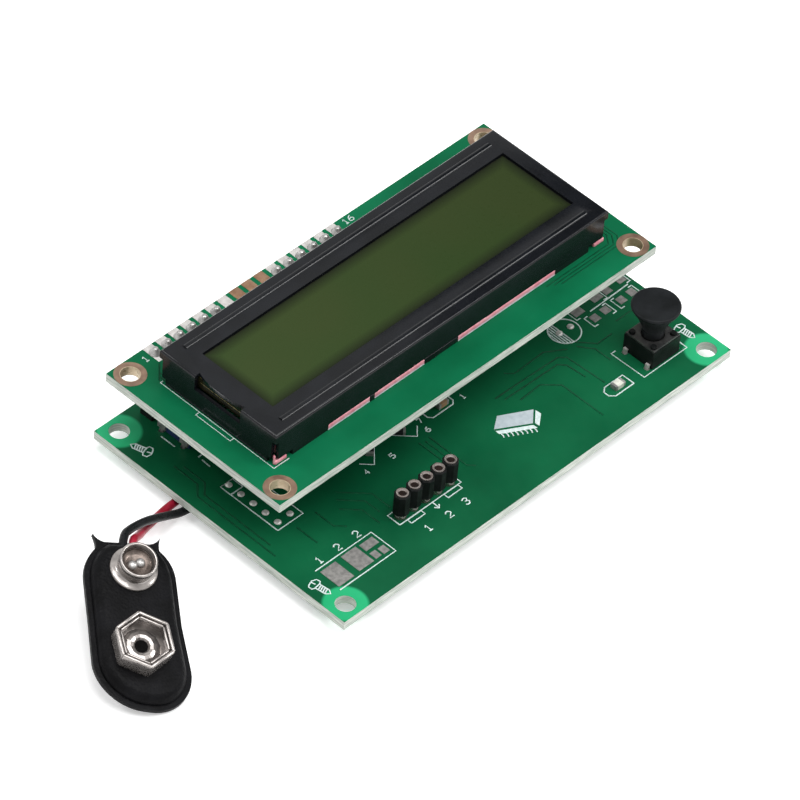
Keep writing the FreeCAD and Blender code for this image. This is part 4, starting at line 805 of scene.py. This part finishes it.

# %% [markdown]
# Behind the window lies the cell. Its film is a dark olive green with a painted shade that darkens it
# towards its right end, the faint warm and cool drift of a polariser, and a painted darker rim where
# the frame shades it. The glass below it, the rubber strips and the light guide keep their imported
# shapes and only get their finishes.

# %% Display cell
film, tree, shader, place = started("olive_film", 0.045)
parts = axes_of(tree, place)
# Painted shade: the film darkens from its left end to its right end.
shade_to_right = mapped(tree, parts["X"], -30 * MM, 32 * MM)
along = ramp_on(tree, shade_to_right, (50, 66, 34), (40, 54, 26), 0.0, 1.0)
drift = noise_on(tree, place, 0.05, 1.0)
tint = ramp_on(tree, drift, (54, 60, 34), (38, 60, 30))
# Painted shade: a darker rim where the frame shades the edges of the window.
rims = []
for axis, centre, reach in (("X", DISPLAY_X + 0.6, 31.8), ("Y", DISPLAY_Y, 7.3)):
    aside = off_centre(tree, parts[axis], centre * MM)
    rims.append(mapped(tree, aside, (reach - 2.2) * MM, reach * MM))
rim_shade = ramp_on(tree, drift, (24, 28, 18), (30, 34, 22))
colour = blended(tree, worked(tree, "MAXIMUM", *rims), blended(tree, 0.3, along, tint), rim_shade)
tree.links.new(colour, shader.inputs["Base Color"])
surfaced(tree, shader, noise_on(tree, place, 1.4), (0.26, 0.34), 0.002)
coat(film, "front_film", "rear_film")
glass = mixed("glass_edge", (22, 25, 18), (38, 38, 24), 0.6, (0.1, 0.2), (2.0, 0.003), shine=0.11)
coat(glass, "front_glass", "rear_glass")
pink_rubber = mixed("pink_rubber", (232, 142, 158), (246, 176, 186), 0.8, (0.5, 0.7), (3.0, 0.02))
coat(pink_rubber, "contact_strips")
coat(mixed("milky_guide", (205, 208, 196), (224, 226, 214), 0.2, (0.35, 0.5), (2.0, 0.004)), "light_guide")
coat(mixed("lamp_white", (214, 208, 190), (230, 226, 210), 0.4, (0.4, 0.6), (2.0, 0.01)), "lamp_strip")
coat(epoxy, "driver_blobs")
coat(mixed("underside_chip", (58, 50, 44), (84, 74, 66), 0.7, (0.4, 0.6)), "display_chips")
print("cell coated")

# %% [markdown]
# The rubber strips swell a little where the frame leaves them room, so their edges fill the notches at
# the foot of the walls and the slits at the corners, and the pale edge of the light guide shows below
# them. The front wall stands on a broad foot in the middle and on a narrow one.

# %% Edges of the cell
STRIP_LENGTH = 48.2
STRIPS = (
    ((DISPLAY_X, FRONT + 0.22, DISPLAY_TOP + 0.62), (STRIP_LENGTH, 0.52, 0.92), 0.14, 3),
    ((LEFT + 1.5, FRONT + 0.3, DISPLAY_TOP + 0.4), (2.4, 0.5, 0.74), 0.16, 3),
    ((LEFT + 69.0, FRONT + 0.3, DISPLAY_TOP + 0.4), (2.2, 0.5, 0.74), 0.16, 3),
    ((LEFT + 0.4, FRONT + 0.42, DISPLAY_TOP + 0.9), (0.3, 0.3, 1.7), 0.08, 2),
)
placed(joined([tablet("strip_edges", *strip) for strip in STRIPS]), pink_rubber)
guide = tablet("guide_edge", (DISPLAY_X, FRONT + 0.19, DISPLAY_TOP + 0.1), (STRIP_LENGTH, 0.5, 0.18), 0.04)
guide_shade = mixed("guide_edge", (196, 198, 208), (216, 216, 224), 0.8, (0.4, 0.55))
placed(guide, guide_shade)
FEET = ((-1.3, 7.2), (-15.85, 1.1))
foot_y, foot_z = FRONT + 0.2, DISPLAY_TOP + 0.57
feet = [tablet("wall_feet", (x, foot_y, foot_z), (width, 0.58, 1.12), 0.1, 3) for x, width in FEET]
placed(joined(feet), frame_paint)
print("strips", len(STRIPS), "feet", len(FEET))

# %% [markdown]
# At the frame's left end a slot lets the edges of the front glass show as two thin golden lines. The
# solids have a slot at the right end too. The picture shows a straight edge there, so a cover of two
# softened blocks closes it: a top with the frame's round edge, and the wall below it. Flat shading
# keeps the cover's faces as plain as the frame's.

# %% Ends of the frame
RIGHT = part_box("display_frame")[1].x / MM
FRAME_TOP = DISPLAY_TOP + 6.2
gold_line = mixed("glass_gold", (92, 86, 50), (122, 114, 72), 0.8, (0.2, 0.35))
glass_low, glass_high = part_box("front_glass")
for index, level in enumerate((glass_low.z / MM, glass_high.z / MM - 0.06)):
    middle = (glass_low.x / MM - 0.04, DISPLAY_Y, level)
    placed(tablet(f"glass_line_{index}", middle, (0.07, 8.8, 0.09), 0.02), gold_line)
cover = [
    tablet("end_cover", (RIGHT - 0.873, DISPLAY_Y, FRAME_TOP - 0.446), (1.754, 11.0, 0.9), 0.44, 4),
    tablet("end_wall", (RIGHT - 0.296, DISPLAY_Y, FRAME_TOP - 1.75), (0.6, 10.0, 2.5), 0.05),
]
placed(joined(cover), frame_paint)
bpy.ops.object.shade_flat()
print("right end at", round(RIGHT, 2))

# %% [markdown]
# The test socket is a strip of five black barrels, each with a turned metal contact in it. One barrel
# is turned in eight steps, which makes it a prism with a small chamfer at each end, and it is copied
# along the strip. Dark discs deep in the contacts are painted shade for the shadow inside them.

# %% Test socket
WAYS = [(PITCH * way, 0) for way in range(5)]
TEST_X, TEST_Y = -15.15 - 2 * PITCH, -16.55
socket_low, socket_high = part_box("test_socket_body")
tall = (socket_high.z - socket_low.z) / MM
BARREL = [(1.22, 0.0), (1.3, 0.1), (1.3, tall - 0.12), (1.2, tall)]
barrel_foot = (TEST_X, TEST_Y, socket_low.z / MM)
barrel = lathed("test_barrels", BARREL, barrel_foot, steps=8, start=22.5, smooth=20.0)
placed(repeated(barrel, WAYS), moulding)
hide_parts("test_socket_body")
turned_tin = mixed("turned_tin", (149, 137, 132), (173, 164, 160), 0.8, (0.16, 0.3), (4.0, 0.004), 0.8)
coat(turned_tin, "test_contacts")
coat(solder, "test_socket_solder")
contact_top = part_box("test_contacts")[1].z / MM
# Painted shade: dark brown discs deep in the contacts stand for the shadow inside their bores.
bore_shade_brown = mixed("painted_bore_shade", (20, 13, 11), (34, 22, 18), 1.0, (0.5, 0.7), (4.0, 0.01), shine=0.1)
BORE_SHADE_PROFILE = [(0.56, 0.0), (0.54, 0.05), (0.3, 0.06)]
deep = lathed("contact_bore_shades", BORE_SHADE_PROFILE, (TEST_X, TEST_Y, contact_top - 0.24), steps=24)
placed(repeated(deep, WAYS), bore_shade_brown)
print("barrels", len(WAYS))

# %% [markdown]
# The push button is a moulded box with a metal sheet cover, whose dark grey is a painted reflection, and
# a flared cap. The cap is a soft matt black, a little paler than the moulding. The snap dome under the
# plunger flattens as the button goes down, and its copy gets a mesh of its own.

# %% Push button
softened("button_box", "switch_base", 0.1, moulding)
# Painted reflection: the metal cover's dark grey stands for the dark reflections it shows.
cover_sheet = mixed("cover_sheet", (71, 72, 72), (96, 96, 95), 0.7, (0.26, 0.4), (2.5, 0.008), 0.75)
softened("button_cover", "switch_cover", 0.06, cover_sheet)
coat(moulding, "switch_plunger")
cap_black = mixed("cap_black", (20, 22, 23), (31, 33, 35), 0.35, (0.34, 0.48), (5.0, 0.008), shine=0.075)
coat(cap_black, "button_cap")
snap_dome = softened("snap_dome", "switch_dome", 0.02, nickel)
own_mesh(snap_dome)
coat(bright_tin, "switch_terminals", "leg_solder")

# %% [markdown]
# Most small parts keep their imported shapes, and the larger mouldings are softened copies. The trimmer
# is blue with a white rotor, the chips are black or brown ceramic with tinned ends, and the crystal has
# a plated can. Filled holes are low domes of solder from the lathe.

# %% Small parts
tin = mixed("dull_tin", (138, 138, 136), (169, 168, 166), 1.0, (0.26, 0.42), (3.0, 0.01), 0.5)
pad_tin = mixed("levelled_tin", (113, 112, 110), (141, 139, 136), 1.6, (0.4, 0.6), (2.4, 0.02), 0.3)
gilt = mixed("turned_gilt", (133, 121, 97), (154, 143, 121), 0.8, (0.14, 0.3), (4.0, 0.004), 1.0)
trimmer_blue = mixed("trimmer_blue", (24, 40, 78), (36, 56, 102), 0.5, (0.35, 0.5))
softened("trimmer_box", "trimmer_body", 0.12, trimmer_blue)
softened("header_bodies", "header_sockets", 0.1, moulding)
softened("header_blocks", "header_spacers", 0.1, moulding)
coat(mixed("rotor_white", (206, 204, 196), (226, 224, 216), 0.5, (0.4, 0.55)), "trimmer_rotor")
coat(mixed("chip_black", (22, 23, 25), (40, 42, 45), 0.9, (0.3, 0.5)), "chip_resistors")
coat(mixed("brown_ceramic", (140, 112, 84), (168, 138, 106), 0.9, (0.4, 0.6)), "chip_capacitors")
coat(mixed("lamp_resin", (196, 198, 186), (222, 222, 210), 1.2, (0.2, 0.35)), "indicator_lamp")
coat(tin, "trimmer_legs", "microcontroller_leads", "regulator_leads", "transistor_leads")
coat(tin, "header_contacts")
coat(gilt, "header_pins")
coat(epoxy, "microcontroller", "regulator_body", "transistor_bodies")
coat(moulding, "crystal_base")
coat(nickel, "crystal_can")
coat(pad_tin, "surface_test_pads", "spare_pads")
coat(solder, "chip_resistor_ends", "chip_capacitor_ends", "indicator_lamp_ends")
coat(solder, "lead_solder", "header_solder", "snap_joints")
DOT = [(0.58, 0.0), (0.55, 0.08), (0.42, 0.2), (0.24, 0.27), (0.08, 0.29)]
DOT_X, DOT_Y = -34.5, -0.3 - 2 * PITCH
dot_offsets = [(PITCH * column, PITCH * row) for column in range(2) for row in range(5)]
dot_offsets += [(24.7 - DOT_X, -6.2 - DOT_Y), (27.0 - DOT_X, -6.35 - DOT_Y)]
dots = lathed("hole_solder", DOT, (DOT_X, DOT_Y, BOARD_TOP), steps=20)
placed(repeated(dots, dot_offsets), bright_tin)
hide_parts("filled_holes")
print("dots", len(dot_offsets))

# %% [markdown]
# The snap hangs on its leads and leans on its far end. All its pieces are modelled flat, with the lead
# end at the origin and the length along X, and one matrix then lays them down where the solid lies.
# The solid's far end is round with a round edge and touches the floor, so the height of the lead end
# follows from the lean and the roll.

# %% The snap's frame
LEAN = math.radians(16.0)
ROLL = math.radians(12.0)
HEADING = math.radians(231.0)
BOOT_LENGTH, BOOT_SIDE, END_RADIUS, SOLID_EDGE = 26.7, 7.3, 6.8, 0.8
# The way down as the snap's own axes see it, and with it how far its far end reaches below its lead end.
fall = (math.sin(LEAN), math.cos(LEAN) * math.sin(ROLL), -math.cos(LEAN) * math.cos(ROLL))
SNAP_HEIGHT = (fall[0] * (BOOT_LENGTH - END_RADIUS) + fall[1] * (BOOT_SIDE - END_RADIUS)
               + (END_RADIUS - SOLID_EDGE) * math.hypot(*fall[:2]) + SOLID_EDGE * (1 + fall[2]))
SNAP = (Matrix.Translation(Vector((-57.4, 3.4, SNAP_HEIGHT)) * MM) @ Matrix.Rotation(HEADING, 4, "Z")
        @ Matrix.Rotation(LEAN, 4, "Y") @ Matrix.Rotation(-ROLL, 4, "X"))
SNAP_TOP = 3.4


def laid(piece, finish, slot, *replaced):
    """Lay a piece of the snap down in its place."""
    only(piece)
    bpy.ops.object.transform_apply()
    piece.matrix_world = SNAP
    placed(piece, finish)
    if replaced:
        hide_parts(*replaced)
    return piece


print("snap height", round(SNAP_HEIGHT, 3))

# %% [markdown]
# The boot is a folded sheet of soft vinyl: a thin rim with two pointed ears by the leads, and a raised
# middle over the hidden plate. Half an outline is enough, because the other half mirrors it. The vinyl
# has crept sideways at its far end, so the outline is skewed a little there.

# %% The boot's outline
CREEP_START = 10.0
CREEP_ASIDE, CREEP_ALONG = 1.1, 0.09
END_STEPS = 14


def bowed(start, end, rise, steps):
    """Points from start to just before end, on a line that bows to its left by the rise."""
    run_x, run_y = end[0] - start[0], end[1] - start[1]
    length = math.hypot(run_x, run_y)
    points = []
    for step in range(steps):
        share = step / steps
        lift = 4 * rise * share * (1 - share) / length
        points.append((start[0] + run_x * share - run_y * lift, start[1] + run_y * share + run_x * lift))
    return points


def far_round(reach, side, radius):
    """The rounded far end of half an outline."""
    angles = [math.radians(90 - 90 * step / END_STEPS) for step in range(END_STEPS + 1)]
    middle_x, middle_y = reach - radius, side - radius
    return [(middle_x + radius * math.cos(angle), middle_y + radius * math.sin(angle)) for angle in angles]


def crept(x, y):
    """Where a point of the outline has crept to: the far end leans to one side."""
    share = max(0.0, x - CREEP_START) / (BOOT_LENGTH - CREEP_START)
    return x + CREEP_ALONG * share * y, y + CREEP_ASIDE * share


mouth, ear, neck, shoulder = (0.0, 3.4), (-1.3, 5.1), (1.0, 4.75), (6.0, 6.9)
rim_half = bowed(mouth, ear, -0.26, 6) + bowed(ear, neck, -0.14, 6) + bowed(neck, shoulder, 0.59, 8)
rim_half += [shoulder, (13.0, 6.92)] + far_round(BOOT_LENGTH, BOOT_SIDE, END_RADIUS)
middle_half = [(0.5, 3.4)] + bowed((1.2, 4.5), (6.2, 6.45), 0.5, 8) + [(6.2, 6.45), (13.0, 6.5)]
middle_half += far_round(26.3, 6.85, 6.4)
print("outline points", len(rim_half), len(middle_half))

# %% [markdown]
# Both sheets start as circles whose points are moved to the outline. An extrusion gives body, the
# middle's top is drawn in to slope its sides, and a bevel softens the edges. The vinyl has a fine
# leathery grain, which is a pattern of cells pressed in as relief.

# %% The boot
def sheet_from(name, half, low, high, bevel, segments, draw_in=(1.0, 1.0)):
    """A thick sheet from one half of its outline, mirrored across the middle line and skewed."""
    points = [crept(x, y) for x, y in half + [(x, -y) for x, y in reversed(half)]]
    bpy.ops.mesh.primitive_circle_add(vertices=len(points), radius=MM, fill_type="NGON")
    piece = named(name)
    for vertex, (x, y) in zip(piece.data.vertices, points):
        vertex.co = (x * MM, y * MM, low * MM)
    opened(piece)
    bpy.ops.mesh.extrude_region_move(TRANSFORM_OT_translate={"value": (0, 0, (high - low) * MM)})
    bpy.ops.transform.resize(value=(*draw_in, 1), center_override=(13.5 * MM, 0, 0))
    closed()
    bevelled(piece, bevel, segments, 50)
    bpy.ops.object.shade_smooth_by_angle(angle=math.radians(50))
    return piece


boot = sheet_from("boot", rim_half, 0.65, 1.6, 0.4, 4)
raised = sheet_from("boot_middle", middle_half, 1.0, SNAP_TOP, 1.1, 6, (0.95, 0.86))
vinyl, tree, shader, place = started("grained_vinyl", 0.045)
cells = tree.nodes.new("ShaderNodeTexVoronoi")
cells.inputs["Scale"].default_value = 2.6 / MM
tree.links.new(place, cells.inputs["Vector"])
vinyl_shade = ramp_on(tree, noise_on(tree, place, 0.3), (13, 13, 14), (21, 21, 23))
tree.links.new(vinyl_shade, shader.inputs["Base Color"])
surfaced(tree, shader, noise_on(tree, place, 1.0), (0.34, 0.5), 0.05, relief=cells.outputs["Distance"])
laid(joined([boot, raised]), vinyl, "boot_vinyl", "snap_boot")
coat(mixed("brown_fibre", (92, 66, 44), (116, 86, 60), 0.6, (0.6, 0.8), (2.0, 0.02)), "snap_plate")
print("boot faces", len(boot.data.polygons))

# %% [markdown]
# The stud is a drawn cup with a rolled foot and lip, and the rivet that holds it shows inside as two
# bright lumps. Its profile runs up the outside, over the lip and down into the dish.

# %% The stud
STUD = [
    (3.2, 0.0), (3.5, 0.04), (3.6, 0.18), (3.54, 0.36), (3.3, 0.5), (2.86, 0.6), (2.66, 0.78), (2.6, 1.0),
    (2.6, 1.5), (2.66, 1.8), (2.8, 2.2), (2.86, 2.5), (2.86, 2.9), (2.83, 3.06), (2.74, 3.16), (2.62, 3.2),
    (2.5, 3.16), (2.44, 3.02), (2.4, 2.8), (2.34, 2.3), (2.2, 1.9), (1.86, 1.56), (1.0, 1.4),
]
DISH = [(2.38, 2.5), (2.3, 2.16), (2.14, 1.84), (1.86, 1.62), (1.5, 1.5), (0.1, 1.46), (0.1, 1.42),
        (1.5, 1.44), (2.3, 2.0)]
LUMP = [(0.72, 1.4), (0.74, 1.6), (0.66, 1.84), (0.46, 2.02), (0.16, 2.1)]
STUD_AT = 5.2
stud_centre = (STUD_AT, 0.0, SNAP_TOP)
stud = lathed("stud_cup", STUD, stud_centre, steps=64)
laid(stud, nickel, "snap_nickel", "snap_stud")
dish = lathed("stud_dish", DISH, stud_centre, steps=48, hollow=True)
dish_metal = mixed("dish_metal", (73, 64, 59), (102, 92, 86), 0.7, (0.2, 0.34), (2.5, 0.01), 0.8)
laid(dish, dish_metal, "snap_nickel")
lump = lathed("stud_rivet", LUMP, (STUD_AT - 0.3, 0.62, SNAP_TOP), steps=20)
laid(repeated(lump, [(0, 0), (0.45, -1.2)]), solder, "snap_nickel")
print("stud rings", len(STUD))

# %% [markdown]
# The socket is a six-sided cup of folded sheet. Each side is a wall that rolls over at the top and
# comes down inside as a sloping flap, so the rim shows two bright lines. One side is copied round the
# axis. A flared rivet with flat facets holds it, round a bore darkened by a painted shade disc, and the
# whole cup has turned a little on that rivet.

# %% The socket
SOCKET_RADIUS = 4.65
SOCKET_TURN = math.radians(-8.0)
SOCKET_AT = 17.9
socket_centre = (SOCKET_AT, 0.0, SNAP_TOP)
apothem = SOCKET_RADIUS * math.cos(math.radians(30))


def turned(piece, angle, axis, centre):
    """Turn a piece about an axis through a centre in millimetres."""
    only(piece)
    pivot = [value * MM for value in centre]
    bpy.ops.transform.rotate(value=angle, orient_axis=axis, center_override=pivot)
    return piece


def spun_copies(piece, count, centre):
    """Turn copies of a piece round an upright axis and join them."""
    copies = [piece]
    for index in range(1, count):
        only(piece)
        bpy.ops.object.duplicate(linked=False)
        copies.append(turned(bpy.context.object, 2 * math.pi * index / count, "Z", centre))
    return joined(copies)


wall = tablet("socket_walls", (SOCKET_AT, apothem - 0.24, SNAP_TOP + 1.5), (4.5, 0.5, 3.0), 0.2, 4)
flap = tablet("socket_flap", (SOCKET_AT, apothem - 0.86, SNAP_TOP + 1.75), (3.65, 0.36, 2.1), 0.15, 3)
turned(flap, math.radians(-20), "X", (SOCKET_AT, apothem - 0.75, SNAP_TOP + 2.8))
spun_copies(joined([wall, flap]), 6, socket_centre)
FLOOR = [(4.4, 0.0), (4.5, 0.08), (4.5, 0.34), (4.3, 0.42)]
FLARE = [(2.95, 0.4), (2.8, 0.62), (2.3, 0.92), (1.75, 1.05), (1.3, 0.94), (1.05, 0.68), (0.95, 0.46)]
base = lathed("socket_floor", FLOOR, socket_centre, steps=6, start=30.0, smooth=0)
flare = lathed("socket_rivet", FLARE, socket_centre, steps=12, smooth=0)
for piece, replaced in ((wall, ["snap_socket"]), (base, []), (flare, [])):
    laid(turned(piece, SOCKET_TURN, "Z", socket_centre), nickel, "snap_nickel", *replaced)
# Painted shade: a black disc down the rivet's bore stands for the shadow in the hole.
bore_shade_black = mixed("painted_bore_shadow", (4, 4, 4), (9, 9, 9), 1.0, (0.6, 0.8), (4.0, 0.01), shine=0.05)
bore = lathed("rivet_bore_shadow", [(0.98, 0.62), (0.95, 0.7), (0.6, 0.7)], socket_centre, steps=24)
laid(bore, bore_shade_black, "epoxy_black")
print("socket across flats", round(2 * apothem, 2))

# %% [markdown]
# The leads' insulation is soft plastic with a light sheen. The red one is warm and even; the black one
# catches a pale line of light along its length. Both are free cords.

# %% Lead insulation
GRAIN = (2.0, 0.006)
red_skin = mixed("red_insulation", (150, 26, 46), (176, 40, 64), 0.4, (0.28, 0.4), GRAIN, shine=0.2)
black_skin = mixed("black_insulation", (18, 19, 21), (28, 29, 31), 0.4, (0.24, 0.36), GRAIN, shine=0.11)
for lead, skin, route, length in ((red_lead, red_skin, RED_ROUTE, 0.0694),
                                  (black_lead, black_skin, BLACK_ROUTE, 0.0698)):
    lead.data.materials.append(skin)
